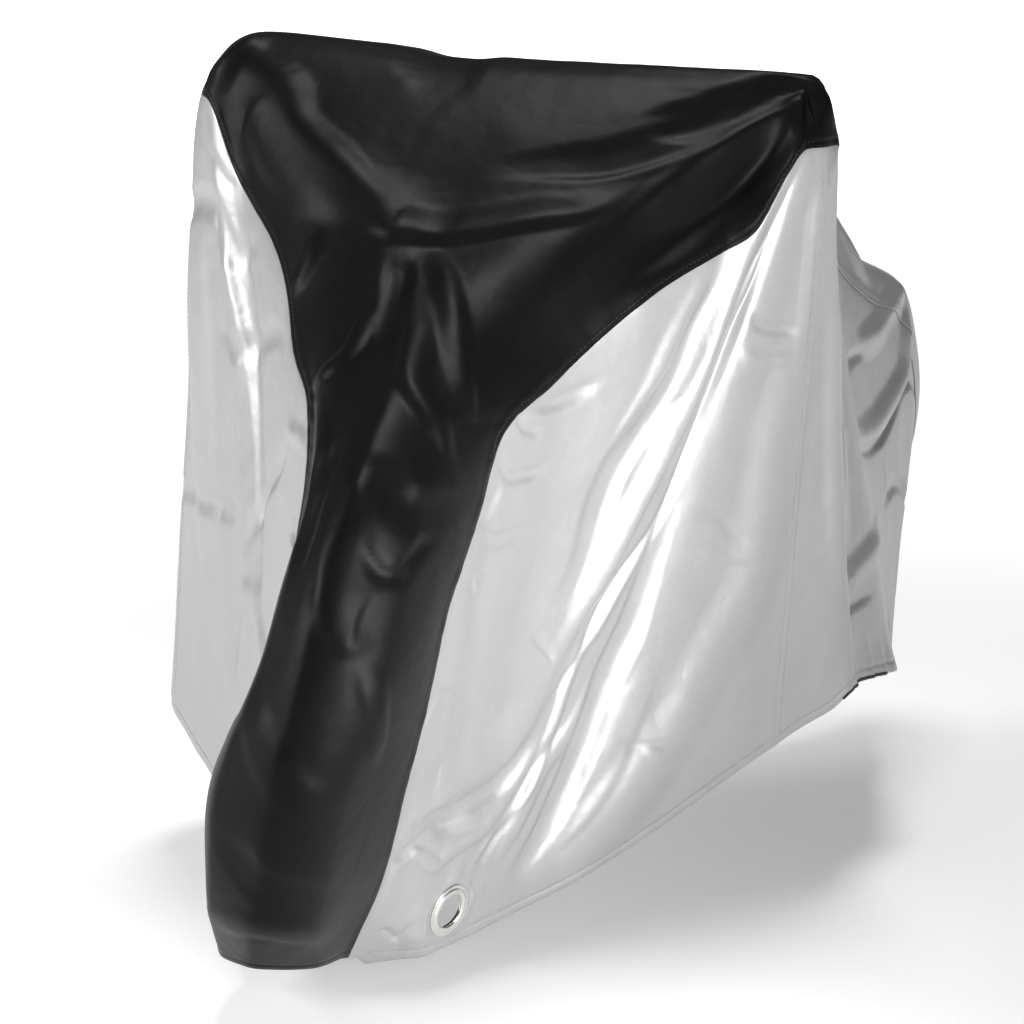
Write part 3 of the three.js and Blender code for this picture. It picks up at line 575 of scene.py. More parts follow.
    def _puckers(self, section: np.ndarray, share: np.ndarray) -> np.ndarray:
        """Draw the cloth up in short puckers on both sides of each long seam."""
        away = (np.abs(share) - SEAM) * self.rates(section, share)[1]
        walk = self._walk(section, share)
        side = np.sign(share)
        slanted = walk / self.PUCKER_CELL - away / self.PUCKER_SLANT
        place = np.stack([slanted, side * 5.3, away / self.PUCKER_DEPTH], 1)
        spread = self.creases.lattice.at(np.stack([walk / self.PUCKER_BUNCH, share * 0 + 2.2, share * 0], 1))
        reach = self.PUCKER_REACH + self.PUCKER_SPREAD * spread
        fall = np.clip(1 - np.abs(away) / np.where(away < 0, reach, reach * 0.6), 0, 1)
        strength = np.interp(section, *self.PUCKERS) * np.where(share > 0, 1.0, self.FAR_SIDE)
        strength *= np.where(away < 0, 1, self.BELOW_SEAM)
        return self.creases.fine.at(place) * fall * fall * strength

    def _walk(self, section: np.ndarray, share: np.ndarray) -> np.ndarray:
        """Measure the way along each seam from the front hem to each section."""
        stations = np.linspace(0, self.last, 421)
        total = np.zeros(len(section))
        for side in (-1, 1):
            lengths = walked(self.bare(stations, np.full(len(stations), side * SEAM)))
            mine = np.sign(share) == side
            total[mine] = np.interp(section[mine], stations, lengths)
        return total

    def _gathers(self, section: np.ndarray, share: np.ndarray) -> np.ndarray:
        """Gather the cloth on the elastic in the hem behind the grips."""
        along, across = self.rates(section, share)
        to_side_hem = (HEM - np.abs(share)) * across
        to_tail_hem = (self.last - section) * along
        start = smooth_step((section - self.GATHER_START) / self.GATHER_FADE)
        edge = np.minimum(to_side_hem, to_tail_hem)
        walk = np.where(to_tail_hem < to_side_hem, share * self.TAIL_PACE, section * self.HEM_PACE)
        wave = self.creases.fine.at(np.stack([walk / self.GATHER_CELL, np.sign(share) * 3.1, edge / 150], 1))
        corner = smooth_step((np.maximum(to_side_hem, to_tail_hem) - self.CORNER_CLEAR) / self.CORNER_FADE)
        fall = np.clip(1 - edge / self.GATHER_REACH, 0, 1) ** 1.6
        return start * corner * wave * self.GATHER_HEIGHT * fall

    def _flattened(self, points: np.ndarray, share: np.ndarray) -> np.ndarray:
        """Hold the cloth flat round each eyelet, with pleats pressed round its rim."""
        for side, (centre, out) in self.seats.items():
            offset = points - centre
            height = dot(offset, out)
            lateral = offset - height * out
            radius = np.linalg.norm(lateral, axis=1)
            flat = (1 - smooth_step((radius - self.FLAT_RADIUS) / self.FLAT_FADE)) * (np.sign(share) == side)
            ahead = unit(np.cross(out, [0.0, 0.0, 1.0]))
            angle = np.arctan2(lateral @ ahead, lateral @ np.cross(ahead, out))
            ring = np.exp(-(((radius - self.RING_RADIUS) / self.RING_WIDTH) ** 2)) * self.RING_HEIGHT
            pleats = np.cos(9 * angle) + np.cos(5 * angle + 1)
            pleats *= self.PLEAT_HEIGHT * smooth_step((radius - self.PLEAT_START) / self.PLEAT_FADE)
            level = (ring + pleats) * flat
            points = points + (level[:, None] - height * flat[:, None]) * out
        return points


class Rim(Enum):
    """How a panel ends: rows of (distance in from the seam or hem, lift off the middle surface)."""

    OVER = ((-3.2, 0.95), (-2.4, 1.1), (0, 1.1), (3, 1.05), (4.4, 0.65), (5.8, 1.0), (9, 0.9), (13, 0.4),
            (18, 0))
    UNDER = ((-9, -0.8), (-5, -0.8), (-1.5, -0.75), (2, -0.4), (6, 0))
    HEM = ((15, -2.2), (8, -2.2), (2.2, -2.1), (0.5, -1.7), (0, -1.1), (0.5, -0.45), (2.2, -0.05), (7, 0.1),
           (11.6, 0), (13, -0.5), (14.4, 0), (19, 0))


@dataclass(frozen=True)
class Panel:
    """One cut piece of the cover: the stations and shares between which it lies, and how it ends there."""

    name: str
    stations: tuple[int, int]
    shares: tuple[float, float]
    ends: tuple[Rim, Rim]
    sides: tuple[Rim, Rim]
    columns: int
    finish: str
    nodes: tuple[str, ...]
    eyelet: int = 0


OVERLAP = (Rim.OVER, Rim.OVER)
LEFT_SIDE, RIGHT_SIDE = (Rim.UNDER, Rim.HEM), (Rim.HEM, Rim.UNDER)
LEFT_HALF, RIGHT_HALF, MIDDLE = (SEAM, HEM), (-HEM, -SEAM), (-SEAM, SEAM)

PANELS = (
    Panel("front_and_roof", (0, TAIL_SEAM), MIDDLE, (Rim.HEM, Rim.OVER), OVERLAP, 100,
          "black_cloth", ("centre_front",)),
    Panel("tail_top", (TAIL_SEAM, TAIL_HEM), MIDDLE, (Rim.UNDER, Rim.HEM), OVERLAP, 40,
          "silver_cloth", ("centre_rear",)),
    Panel("side_front_left", (0, SIDE_SEAM), LEFT_HALF, (Rim.HEM, Rim.OVER), LEFT_SIDE, 140,
          "silver_cloth", ("front_side_left", "eyelet_patch_left"), 1),
    Panel("side_front_right", (0, SIDE_SEAM), RIGHT_HALF, (Rim.HEM, Rim.OVER), RIGHT_SIDE, 110,
          "silver_cloth", ("front_side_right", "eyelet_patch_right"), -1),
    Panel("side_rear_left", (SIDE_SEAM, TAIL_HEM), LEFT_HALF, (Rim.UNDER, Rim.HEM), LEFT_SIDE, 105,
          "silver_cloth", ("rear_side_left",)),
    Panel("side_rear_right", (SIDE_SEAM, TAIL_HEM), RIGHT_HALF, (Rim.UNDER, Rim.HEM), RIGHT_SIDE, 105,
          "silver_cloth", ("rear_side_right",)),
)


def new_object(name: str, data: bpy.types.ID) -> bpy.types.Object:
    """Put a mesh, a light or a camera in the scene."""
    thing = bpy.data.objects.new(name, data)
    bpy.context.scene.collection.objects.link(thing)
    return thing


def make_only(piece: bpy.types.Object) -> None:
    """Select one object alone and make it the active one."""
    for other in bpy.context.view_layer.objects:
        other.select_set(False)
    piece.select_set(True)
    bpy.context.view_layer.objects.active = piece


def smooth(mesh: bpy.types.Mesh) -> None:
    """Shade every face of a mesh smoothly."""
    mesh.polygons.foreach_set("use_smooth", [True] * len(mesh.polygons))


@dataclass
class ClothPanel:
    """Makes one panel of the cover on the drape."""

    panel: Panel
    drape: Drape
    sections: np.ndarray = field(init=False)
    shares: np.ndarray = field(init=False)
    lift: np.ndarray = field(init=False)

    HOLE_PULL = 13.0  # radius of the cloth that is pulled open to the hole's edge
    HOLE_REACH = 46.0  # radius of the cloth that moves with it
    HOLE_DEPTH = 12.0  # how far off the eyelet's plane cloth still belongs to it

    def __post_init__(self) -> None:
        """Lay out the grid of the panel."""
        first, last = self.panel.stations
        low, high = self.panel.shares
        rows = self._ways(self.panel.ends, self._inner_rows())
        columns = self._ways(self.panel.sides, np.linspace(0, 1, self.panel.columns + 2)[1:-1])
        middle = first + (last - first) * rows[:, 2]
        self.shares = np.array([self.drape.shares_at(s, low, high, columns) for s in middle])
        edge_rates = [self.drape.rates(np.full(len(columns), float(end)), shares)[0]
                      for end, shares in ((first, self.shares[0]), (last, self.shares[-1]))]
        start = first + rows[:, :1] / edge_rates[0][None]
        end = last - rows[:, 1:2] / edge_rates[1][None]
        self.sections = start + (end - start) * rows[:, 2:3]
        self.lift = rows[:, 3:4] + columns[None, :, 3]

    def _inner_rows(self) -> np.ndarray:
        """Share the rows out by the sections' own numbers."""
        first, last = self.panel.stations
        steps = np.concatenate([np.full(SECTIONS[s].rows, 1 / SECTIONS[s].rows) for s in range(first, last)])
        return (np.cumsum(steps) / (last - first))[:-1]

    @staticmethod
    def _ways(rims: tuple[Rim, Rim], inner: np.ndarray) -> np.ndarray:
        """List the grid's lines between two rims.

        Args:
            rims: How the panel ends where the lines start and where they stop.
            inner: The shares of the way of the lines between the rims.

        Returns:
            Rows of (distance in from the start, distance in from the end, share of the way, lift).
        """
        begin, finish = (np.array(rim.value) for rim in rims)
        first = [(d, finish[0, 0], 0.0, lift) for d, lift in begin]
        last = [(begin[-1, 0], d, 1.0, lift) for d, lift in finish[::-1]]
        between = [(begin[-1, 0], finish[-1, 0], t, 0.0) for t in inner]
        return np.array(first + between + last)

    def build(self) -> bpy.types.Object:
        """Make the panel's mesh, with its thickness, its hole and its cloth coordinates."""
        places = self.drape.shape(self.sections.ravel(), self.shares.ravel(), self.lift.ravel()) * MM
        grid = np.arange(len(places)).reshape(self.sections.shape)
        corners = [grid[:-1, :-1], grid[:-1, 1:], grid[1:, 1:], grid[1:, :-1]]
        faces = np.stack([c.ravel() for c in corners], 1)
        if self.panel.eyelet:
            places, faces = self._cut_hole(places, faces)
        mesh = bpy.data.meshes.new(self.panel.name)
        mesh.from_pydata(places.tolist(), [], faces.tolist())
        self._unroll(mesh, places)
        mesh.validate()
        bm = bmesh.new()
        bm.from_mesh(mesh)
        bmesh.ops.delete(bm, geom=[v for v in bm.verts if not v.link_faces], context="VERTS")
        bm.to_mesh(mesh)
        bm.free()
        smooth(mesh)
        piece = new_object(self.panel.name, mesh)
        make_only(piece)
        shell = piece.modifiers.new("thickness", "SOLIDIFY")
        shell.thickness = CLOTH * MM
        shell.offset = 0.0
        bpy.ops.object.modifier_apply(modifier=shell.name)
        smooth(piece.data)
        LOG.info("%s: %d faces", self.panel.name, len(piece.data.polygons))
        return piece

    def _cut_hole(self, places: np.ndarray, faces: np.ndarray) -> tuple[np.ndarray, np.ndarray]:
        """Open the hole for the eyelet and round its edge off."""
        centre, out = self.drape.seats[self.panel.eyelet]
        offset = places / MM - centre
        height = dot(offset, out)
        lateral = offset - height * out
        radius = np.linalg.norm(lateral, axis=1)
        near = (radius < self.HOLE_REACH) & (np.abs(height[:, 0]) < self.HOLE_DEPTH)
        inside = near & (radius < self.HOLE_PULL)
        kept = faces[~inside[faces].all(1)]
        growth = (self.HOLE_REACH - CLOTH_CUT) / (self.HOLE_REACH - self.HOLE_PULL)
        stretch = CLOTH_CUT + np.maximum(radius - self.HOLE_PULL, 0) * growth
        moved = centre + unit(lateral) * stretch[:, None] + height * out
        return np.where(near[:, None], moved * MM, places), kept

    def _unroll(self, mesh: bpy.types.Mesh, places: np.ndarray) -> None:
        """Give the mesh a map of the flat cloth, in metres."""
        grid = places.reshape(*self.sections.shape, 3)
        middle = grid.shape[1] // 2
        flat_u = np.array([walked(row) for row in grid])
        flat_u = flat_u - flat_u[:, middle, None]
        flat_v = np.broadcast_to(walked(grid[:, middle])[:, None], flat_u.shape)
        cloth = mesh.uv_layers.new(name="cloth")
        corners = np.array([loop.vertex_index for loop in mesh.loops])
        pairs = np.stack([flat_u.ravel()[corners], flat_v.ravel()[corners]], 1)
        cloth.data.foreach_set("uv", pairs.ravel().astype(np.float32))


@dataclass(frozen=True)
class Stitch:
    """One kind of stitch, in millimetres.

    Pitch runs from one stitch to the next, radius is half the thread's thickness, and lift is how far the
    thread's middle stands off the cloth's middle surface.
    """

    pitch: float
    length: float
    radius: float
    lift: float


SEAM_STITCH = Stitch(6.2, 4.2, 0.32, 1.15)
HEM_STITCH = Stitch(6.0, 4.0, 0.3, 0.35)
EDGE_STITCH = Stitch(6.0, 4.0, 0.3, 1.15)
INNER_STITCH = Stitch(6.0, 4.0, 0.3, 1.25)
# A black cord 5.2 mm thick, made of overlapping short pieces and laid along the edge of a hem
BLACK_HEM_CORD = Stitch(4.0, 5.2, 2.6, -0.5)


@dataclass
class Stitching:
    """Rows of stitches, each a short thread lying in the cloth."""

    drape: Drape
    corners: list = field(default_factory=list)
    faces: list = field(default_factory=list)
    count: int = 0

    SIDES = 5
    RINGS = ((0.0, 0.35), (0.12, 0.9), (0.5, 1.0), (0.88, 0.9), (1.0, 0.35))  # shares of length and radius
    BOW = 0.35  # how far a stitch's middle bows off the cloth

    def row(self, sections: np.ndarray, shares: np.ndarray, stitch: Stitch) -> None:
        """Sew one row of stitches along a line on the cloth.

        Args:
            sections: Sections of the points of the line.
            shares: Shares across of the points of the line.
            stitch: The kind of stitch.
        """
        line = self.drape.shape(sections, shares, stitch.lift)
        walk = walked(line)
        starts = np.arange(stitch.pitch / 2, walk[-1] - stitch.length, stitch.pitch)
        heads = self._read(line, walk, starts)
        reach = self._read(line, walk, starts + stitch.length) - heads
        normals = unit(self._read(self.drape.outward(sections, shares), walk, starts))[:, None]
        across = np.cross(unit(reach)[:, None], normals)
        angles = (np.arange(self.SIDES) / self.SIDES * TURN)[:, None]
        spokes = (np.cos(angles) * across + np.sin(angles) * normals) * stitch.radius
        rings = [heads[:, None] + reach[:, None] * share + spokes * wide
                 + normals * self.BOW * (1 - (2 * share - 1) ** 2) for share, wide in self.RINGS]
        corners = np.stack(rings, 1)
        self.corners.append(corners.reshape(-1, 3))
        self.faces.append((len(starts), self.count))
        self.count += len(starts) * len(self.RINGS) * self.SIDES

    @staticmethod
    def _read(values: np.ndarray, walk: np.ndarray, at: np.ndarray) -> np.ndarray:
        """Read rows of values, given along a walk, at other distances."""
        return np.stack([np.interp(at, walk, column) for column in values.T], -1)

    def build(self, name: str) -> bpy.types.Object:
        """Join the stitches in one mesh."""
        sides, rings = self.SIDES, len(self.RINGS)
        loops = np.arange(rings * sides).reshape(rings, sides)
        onward = np.roll(loops, -1, axis=1)
        corners = (loops[:-1], onward[:-1], onward[1:], loops[1:])
        walls = np.stack([corner.ravel() for corner in corners], 1).tolist()
        one = walls + [loops[0, ::-1].tolist(), loops[-1].tolist()]
        polygons = []
        for number, start in self.faces:
            for stitch in range(number):
                base = start + stitch * rings * sides
                polygons += [tuple(base + k for k in face) for face in one]
        mesh = bpy.data.meshes.new(name)
        mesh.from_pydata((np.concatenate(self.corners) * MM).tolist(), [], polygons)
        mesh.validate()
        smooth(mesh)
        LOG.info("%s: %d faces", name, len(polygons))
        return new_object(name, mesh)


@dataclass(frozen=True)
class Eyelet:
    """A rolled metal eyelet, turned from one profile; rows of radius and height off the cloth's middle."""

    profile: tuple[tuple[float, float], ...] = (
        (21.2, 0.75), (30.4, 0.75), (31.0, 1.0), (31.1, 1.4), (30.6, 1.9), (29.4, 2.15), (28.0, 2.1),
        (27.4, 1.75), (26.9, 1.85), (26.2, 2.6), (24.6, 3.3), (22.6, 3.6), (20.8, 3.2), (19.6, 2.2),
        (19.1, 0.9), (19.0, -0.6), (19.2, -1.8), (20.2, -2.7), (22.0, -3.0), (24.5, -2.6), (27.6, -1.7),
        (28.6, -1.3), (28.8, -0.95), (28.4, -0.75), (21.2, -0.75),
    )
    segments: int = 96

    SORT_FROM = (0.0271, 0.0288, 0.0031)  # no two corners, and no two faces, lie equally far from here

    def build(self) -> bpy.types.Object:
        """Turn the ring about the z axis, with the cloth's middle at height 0."""
        first, *rest = self.profile
        bpy.ops.mesh.primitive_circle_add(vertices=self.segments, radius=first[0] * MM,
                                          location=(0, 0, first[1] * MM))
        ring = bpy.context.object
        make_only(ring)
        bpy.ops.object.transform_apply(location=True, rotation=True, scale=True)
        bpy.ops.object.mode_set(mode="EDIT")
        bpy.ops.mesh.select_all(action="SELECT")
        before = first
        for point in (*rest, first):
            bpy.ops.mesh.extrude_edges_move()
            scale = point[0] / before[0]
            bpy.ops.transform.resize(value=(scale, scale, 1), center_override=(0, 0, 0))
            bpy.ops.transform.translate(value=(0, 0, (point[1] - before[1]) * MM))
            before = point
        bpy.ops.mesh.select_all(action="SELECT")
        bpy.ops.mesh.remove_doubles(threshold=1e-6)
        bpy.ops.mesh.normals_make_consistent(inside=False)
        bpy.context.scene.cursor.location = self.SORT_FROM
        bpy.ops.mesh.sort_elements(type="CURSOR_DISTANCE", elements={"VERT", "FACE"})
        bpy.ops.object.mode_set(mode="OBJECT")
        smooth(ring.data)
        return ring

    @staticmethod
    def seat(ring: bpy.types.Object, name: str, centre: np.ndarray, out: np.ndarray) -> bpy.types.Object:
        """Set a copy of the ring in the cloth.

        Args:
            ring: The ring to copy.
            name: The piece's name.
            centre: The middle of the hole in millimetres.
            out: The direction that the eyelet faces.

        Returns:
            The copy, with a mesh of its own.
        """
        piece = new_object(name, ring.data.copy())
        turn = Vector((0, 0, 1)).rotation_difference(Vector(out)).to_matrix().to_4x4()
        piece.data.transform(Matrix.Translation(Vector(centre * MM)) @ turn)
        LOG.info("%s: %d faces", name, len(piece.data.polygons))
        return piece


class Socket:
    """One output of a node, ready for arithmetic. Each step adds a Math node."""

    def __init__(self, bench: "Bench", output: bpy.types.NodeSocket) -> None:
        """Wrap an output."""
        self.bench = bench
        self.output = output

    def __add__(self, other: "Socket | float") -> "Socket":
        """Add."""
        return self.bench.math("ADD", self, other)

    def __radd__(self, other: float) -> "Socket":
        """Add to a number."""
        return self.bench.math("ADD", other, self)

    def __sub__(self, other: "Socket | float") -> "Socket":
        """Subtract."""
        return self.bench.math("SUBTRACT", self, other)

    def __rsub__(self, other: float) -> "Socket":
        """Subtract from a number."""
        return self.bench.math("SUBTRACT", other, self)

    def __mul__(self, other: "Socket | float") -> "Socket":
        """Multiply."""
        return self.bench.math("MULTIPLY", self, other)

    def __rmul__(self, other: float) -> "Socket":
        """Multiply a number."""
        return self.bench.math("MULTIPLY", other, self)


class Bench:
    """Builds the nodes of one procedural material."""

    def __init__(self, name: str) -> None:
        """Start an empty material."""
        self.material = bpy.data.materials.new(name)
        self.material.use_nodes = True
        self.tree = self.material.node_tree
        self.tree.nodes.clear()

    def add(self, kind: str, settings: dict | None = None, inputs: dict | None = None,
            output: int | str = 0) -> Socket:
        """Add any node.

        Args:
            kind: The node's type.
            settings: Its properties.
            inputs: Its inputs by name or number, each a Socket or a plain value.
            output: The output to hand back.

        Returns:
            The wanted output.
        """
        node = self.tree.nodes.new(kind)
        for key, value in (settings or {}).items():
            setattr(node, key, value)
        for key, value in (inputs or {}).items():
            if isinstance(value, Socket):
                self.tree.links.new(value.output, node.inputs[key])
            else:
                node.inputs[key].default_value = value
        return Socket(self, node.outputs[output])

    def math(self, operation: str, one: "Socket | float", other: "Socket | float" = 0.0) -> Socket:
        """Add a Math node."""
        return self.add("ShaderNodeMath", {"operation": operation}, {0: one, 1: other})

    def blend(self, share: "Socket | float", one: tuple, other: tuple) -> Socket:
        """Mix two colours."""
        return self.add("ShaderNodeMix", {"data_type": "RGBA"}, {0: share, 6: one, 7: other}, 2)

    def scale(self, vector: Socket, factors: tuple[float, float, float]) -> Socket:
        """Multiply a vector by three factors."""
        return self.add("ShaderNodeVectorMath", {"operation": "MULTIPLY"}, {0: vector, 1: factors})

    def noise(self, vector: Socket, scale: float, detail: float = 3.0) -> Socket:
        """Read noise, from 0 to 1, at a place."""
        return self.add("ShaderNodeTexNoise", {}, {"Vector": vector, "Scale": scale, "Detail": detail})

    def shade(self, **inputs: "Socket | float | tuple") -> bpy.types.Material:
        """Finish the material with the principled shader."""
        named = {key.replace("_", " "): value for key, value in inputs.items()}
        shader = self.add("ShaderNodeBsdfPrincipled", {}, named, "BSDF")
        end = self.tree.nodes.new("ShaderNodeOutputMaterial")
        self.tree.links.new(shader.output, end.inputs["Surface"])
        return self.material


@dataclass(frozen=True)
class Finish:
    """What every finish has: two tones that it drifts between, and how evenly it shines."""

    name: str
    tone: tuple[float, float, float, float]
    other_tone: tuple[float, float, float, float]
    metallic: float
    roughness: float
    patchiness: float


@dataclass(frozen=True)
class ClothFinish(Finish):
    """Coated woven cloth: its weave, its sheen and its small creases; lengths are metres."""

    thread: float = 0.00055
    weave_depth: float = 0.00003
    specular: float = 0.5
    rumple: float = 0.0028

    def material(self) -> bpy.types.Material:
        """Build the cloth's material."""
        bench = Bench(self.name)
        cloth = bench.add("ShaderNodeUVMap", {"uv_map": "cloth"})
        place = bench.add("ShaderNodeTexCoord", output="Object")
        blotch = bench.noise(place, 14.0, 4.0)
        rub = bench.noise(bench.scale(cloth, (160.0, 9.0, 1.0)), 1.0, 2.0)
        tone = bench.blend(blotch * 0.7 + rub * 0.3, self.tone, self.other_tone)
        roughness = self.roughness + (blotch - 0.5) * self.patchiness + (rub - 0.5) * (self.patchiness * 0.5)
        parts = bench.add("ShaderNodeSeparateXYZ", {}, {0: cloth})
        down = bench.add("ShaderNodeSeparateXYZ", {}, {0: cloth}, 1)
        warp = bench.math("SINE", parts * (TURN / self.thread))
        weft = bench.math("SINE", down * (TURN / self.thread))
        grain = bench.noise(place, 420.0, 2.0)
        height = warp * weft * 0.5 + grain * 1.2
        wrinkle = bench.math("ABSOLUTE", bench.noise(place, 15.0, 3.0) - 0.5)
        crinkle = bench.math("ABSOLUTE", bench.noise(place, 44.0, 2.0) - 0.5)
        creased = bench.add("ShaderNodeBump", {}, {"Strength": 1.0, "Distance": self.rumple,
                                                   "Height": wrinkle + crinkle * 0.1})
        bump = bench.add("ShaderNodeBump", {}, {"Strength": 0.35, "Distance": self.weave_depth,
                                                "Height": height, "Normal": creased})
        return bench.shade(Base_Color=tone, Roughness=roughness, Metallic=self.metallic, Normal=bump,
                           **{"Specular IOR Level": self.specular})


@dataclass(frozen=True)
class PlainFinish(Finish):
    """A plain hard or threadlike finish with a little wear."""

    grain: float
    glow: float = 0.0

    def material(self) -> bpy.types.Material:
        """Build the material."""
        bench = Bench(self.name)
        place = bench.add("ShaderNodeTexCoord", output="Object")
        wear = bench.noise(place, self.grain, 4.0)
        tone = bench.blend(wear, self.tone, self.other_tone)
        return bench.shade(Base_Color=tone, Roughness=self.roughness + (wear - 0.5) * self.patchiness,
                           Metallic=self.metallic, Emission_Color=(1.0, 1.0, 1.0, 1.0),
                           Emission_Strength=self.glow)


@dataclass(frozen=True)
class FloorFinish:
    """A pale floor that is lit evenly from below, more so away from the cover."""

    name: str
    tone: tuple[float, float, float, float]
    near_glow: float
    near: float
    far: float

    def material(self) -> bpy.types.Material:
        """Build the material."""
        bench = Bench(self.name)
        place = bench.add("ShaderNodeTexCoord", output="Object")
        distance = bench.add("ShaderNodeVectorMath", {"operation": "LENGTH"}, {0: place}, "Value")
        away = bench.add("ShaderNodeMapRange", {"interpolation_type": "SMOOTHSTEP"},
                         {"Value": distance, "From Min": self.near, "From Max": self.far})
        dim = (self.near_glow, self.near_glow, self.near_glow, 1.0)
        return bench.shade(Base_Color=self.tone, Roughness=0.75, Emission_Strength=1.0,
                           Emission_Color=bench.blend(away, dim, (0.8, 0.8, 0.8, 1.0)))


BLACK = ClothFinish("black coated cloth", (0.002, 0.002, 0.0024, 1), (0.004, 0.004, 0.0045, 1),
                    0.0, 0.42, 0.10, specular=0.10, rumple=0.0016)
SILVER = ClothFinish("silver coated cloth", (0.38, 0.38, 0.385, 1), (0.44, 0.44, 0.445, 1), 0.6, 0.42, 0.08)
METAL = PlainFinish("polished eyelet metal", (0.80, 0.79, 0.77, 1), (0.70, 0.69, 0.67, 1),
                    1.0, 0.22, 0.12, 90.0)
BLACK_THREAD = PlainFinish("black thread", (0.02, 0.02, 0.021, 1), (0.035, 0.035, 0.036, 1),
                           0.0, 0.6, 0.1, 900.0)
GREY_THREAD = PlainFinish("grey thread", (0.36, 0.36, 0.365, 1), (0.46, 0.46, 0.465, 1),
                          0.0, 0.6, 0.1, 900.0)
FLOOR = FloorFinish("pale floor", (0.86, 0.86, 0.86, 1), 0.3, 1.4, 3.8)
BACKDROP = PlainFinish("white backdrop", (0.9, 0.9, 0.9, 1), (0.9, 0.9, 0.9, 1), 0.0, 0.9, 0.0, 2.0, 1.0)


@dataclass
class Cover:
    """The whole cover, piece by piece."""

    drape: Drape = field(default_factory=Drape)

    def build(self) -> None:
        """Make every piece and dress it."""
        materials = {"black_cloth": BLACK.material(), "silver_cloth": SILVER.material()}
        for panel in PANELS:
            piece = ClothPanel(panel, self.drape).build()
            self._dress(piece, materials[panel.finish], panel.finish, panel.nodes)
            self._declare(piece)
        self._sew()
        self._fit_eyelets()

    @staticmethod
    def _dress(piece: bpy.types.Object, material: bpy.types.Material, slot: str,
               nodes: tuple[str, ...]) -> None:
        """Give a piece its finish and its place in the frame."""
        piece.data.materials.clear()
        piece.data.materials.append(material)
        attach(piece, "root")
        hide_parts(*nodes)

    @staticmethod
    def _declare(piece: bpy.types.Object) -> None:
        """Say what size the panel was cut to, from its area and its map of the flat cloth."""
        area = sum(face.area for face in piece.data.polygons) / 2
        flat = np.zeros(len(piece.data.loops) * 2, np.float32)
        piece.data.uv_layers["cloth"].data.foreach_get("uv", flat)
        width, length = np.ptp(flat.reshape(-1, 2), axis=0).astype(float)
        area = min(area, width * length)
        LOG.info("%s: cut %.2f by %.2f m, %.3f square metres", piece.name, width, length, area)

    def _sew(self) -> None:
        """Sew the seams and hems."""
        black, grey, elastic = (Stitching(self.drape) for _ in range(3))
        seam_way = np.linspace(0.12, TAIL_SEAM, 700)
        hem_way = np.linspace(0.1, TAIL_HEM - 0.1, 800)
        tail_way = np.linspace(TAIL_SEAM, TAIL_HEM - 0.1, 260)
        for side in (-1, 1):
            self._sew_along(black, seam_way, side * SEAM, 4.4, SEAM_STITCH)
            self._sew_along(grey, hem_way, side * HEM, 13.0, HEM_STITCH)
            for inset, stitch in ((4.6, EDGE_STITCH), (9.5, INNER_STITCH)):
                shares = side * np.linspace(SEAM + 0.01, HEM - 0.03, 300)
                rate = self.drape.rates(np.full(len(shares), SIDE_SEAM), shares)[0]
                grey.row(SIDE_SEAM - inset / rate, shares, stitch)
            self._sew_along(grey, tail_way, side * SEAM, 4.4, EDGE_STITCH)
        # A black cord along the edge of the near side's hem, from section 12.4 to 14.9 only
        self._sew_along(elastic, np.linspace(12.4, 14.9, 120), HEM, 0.8, BLACK_HEM_CORD)
        thread = BLACK_THREAD.material()
        self._dress(black.build("black_stitches"), thread, "black_cloth", ())
        self._dress(elastic.build("black_hem_cord"), thread, "black_cloth", ())
        self._dress(grey.build("grey_stitches"), GREY_THREAD.material(), "silver_cloth", ())

    def _sew_along(self, stitching: Stitching, way: np.ndarray, share: float, inset: float,
                   stitch: Stitch) -> None:
        """Sew a row beside a seam or hem, at a distance towards the middle of the cover.

        Args:
            stitching: The thread to sew with.
            way: The sections along the row.
            share: The share across at which the seam or hem lies.
            inset: The distance from it in millimetres.
            stitch: The kind of stitch.
        """
        edge = np.full(len(way), float(share))
        stitching.row(way, edge - math.copysign(inset, share) / self.drape.rates(way, edge)[1], stitch)

    def _fit_eyelets(self) -> None:
        """Model one metal eyelet and set a copy in each side."""
        metal = METAL.material()
        eyelet = Eyelet()
        ring = eyelet.build()
        for side, name in ((1, "left"), (-1, "right")):
            piece = eyelet.seat(ring, f"eyelet_{name}", *self.drape.seats[side])
            self._dress(piece, metal, "eyelet_metal", (f"eyelet_ring_{name}",))
        bpy.data.objects.remove(ring)


@dataclass(frozen=True)
class Lamp:
    """One area light: where it stands, where it points, how large and how strong it is."""

    name: str
    place: tuple[float, float, float]
    aim: tuple[float, float, float]
    size: tuple[float, float]
    watts: float
    spread: float = 180.0


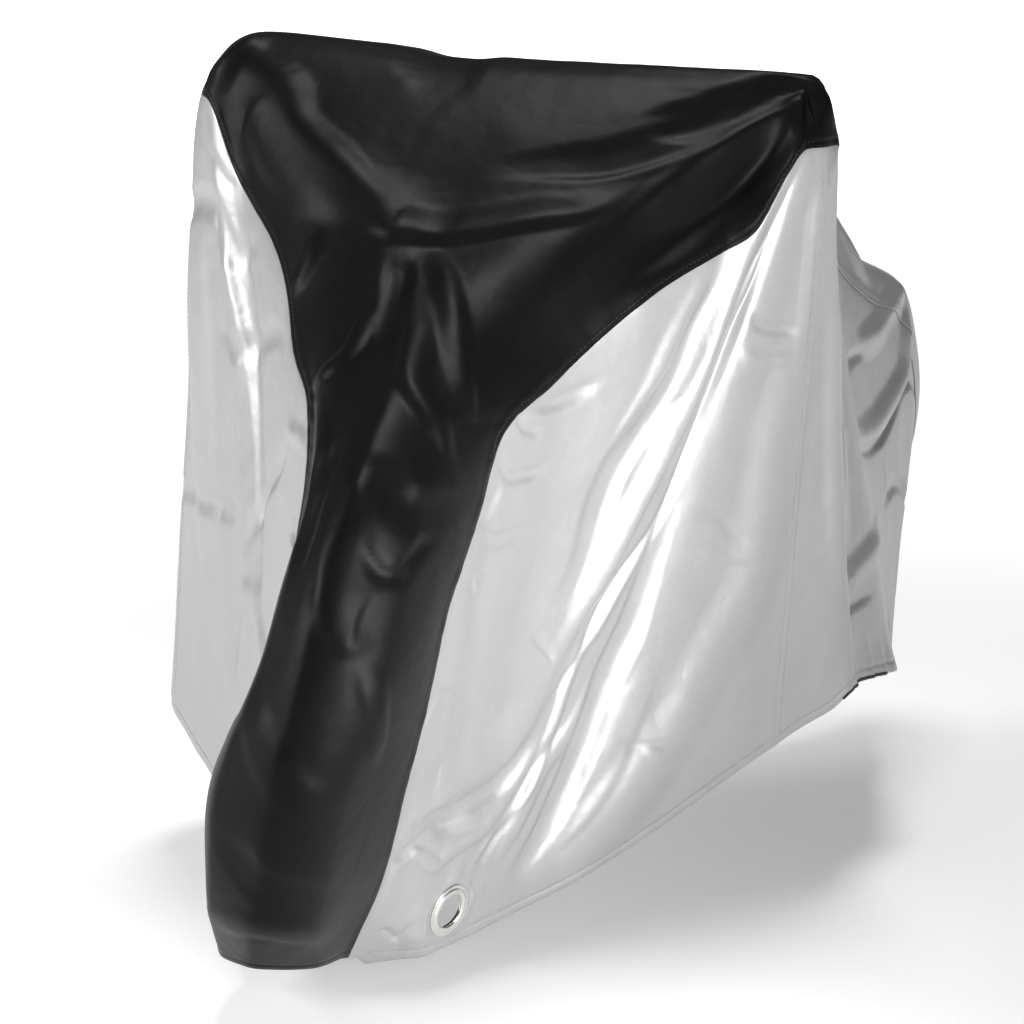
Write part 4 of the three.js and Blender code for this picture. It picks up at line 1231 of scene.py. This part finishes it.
class Studio:
    """The pale floor, the white backdrop, the lights and the camera; lengths are metres."""

    FLOOR_SIZE, FLOOR_HEIGHT = 60.0, -1.0
    BACKDROP_PLACE, BACKDROP_SIZE = (-6.9, 9.8, -0.2), (9.0, 1.7, 1.0)
    ROOM_LIGHT = 0.15
    CAMERA_PLACE = (1.723, -2.481, 0.078)
    AZIMUTH = math.radians(35)  # of the camera, round from the front to the left side
    TILT = math.radians(90 - 10.85)  # of the camera, up from straight down
    LENS, SENSOR = 93.52, 36.0
    LAMPS = (
        Lamp("left", (1.15, -0.6, -0.45), (0.12, -0.3, -0.45), (0.4, 1.0), 6.6, 80.0),
        Lamp("front", (-3.0, -3.6, 1.4), (0.0, 0.1, -0.45), (2.4, 2.4), 200.0),
        Lamp("overhead", (0.2, 0.3, 3.8), (0.0, 0.2, -0.5), (1.4, 1.4), 105.0),
    )

    def build(self) -> None:
        """Set the studio up."""
        self._lay_floor()
        for lamp in self.LAMPS:
            self._hang(lamp)
        self._light_world()
        self._place_camera()
        bpy.context.scene.view_settings.view_transform = "Standard"

    def _lay_floor(self) -> None:
        """Lay the floor and stand the backdrop at its far end."""
        bpy.ops.mesh.primitive_plane_add(size=self.FLOOR_SIZE, location=(0, 0, self.FLOOR_HEIGHT))
        floor = bpy.context.object
        floor.name = "floor"
        floor.data.materials.append(FLOOR.material())
        bpy.ops.mesh.primitive_plane_add(size=1, location=self.BACKDROP_PLACE,
                                         rotation=(math.pi / 2, 0.0, self.AZIMUTH))
        backdrop = bpy.context.object
        backdrop.scale = self.BACKDROP_SIZE
        bpy.ops.object.transform_apply(location=True, rotation=True, scale=True)
        backdrop.name = "backdrop"
        backdrop.data.materials.append(BACKDROP.material())

    @staticmethod
    def _hang(lamp: Lamp) -> None:
        """Hang one light."""
        light = bpy.data.lights.new(lamp.name, "AREA")
        light.shape = "RECTANGLE"
        light.size, light.size_y = lamp.size
        light.energy = lamp.watts
        light.spread = math.radians(lamp.spread)
        holder = new_object(lamp.name, light)
        holder.location = lamp.place
        holder.rotation_euler = (Vector(lamp.aim) - Vector(lamp.place)).to_track_quat("-Z", "Y").to_euler()

    def _light_world(self) -> None:
        """Fill the room with soft white light."""
        world = bpy.data.worlds.new("studio")
        bpy.context.scene.world = world
        world.use_nodes = True
        background = world.node_tree.nodes["Background"]
        background.inputs["Color"].default_value = (1.0, 1.0, 1.0, 1.0)
        background.inputs["Strength"].default_value = self.ROOM_LIGHT

    def _place_camera(self) -> None:
        """Look at the cover from its front left, a little from above."""
        lens = bpy.data.cameras.new("camera")
        lens.lens = self.LENS
        lens.sensor_width = self.SENSOR
        camera = new_object("camera", lens)
        camera.location = self.CAMERA_PLACE
        camera.rotation_euler = (self.TILT, 0.0, self.AZIMUTH)
        bpy.context.scene.camera = camera


def main() -> None:
    """Build the cover and its studio, and log each panel's cut size."""
    logging.basicConfig(level=logging.INFO, format="%(name)s %(message)s")
    Cover().build()
    Studio().build()


if __name__ == "__main__":
    main()
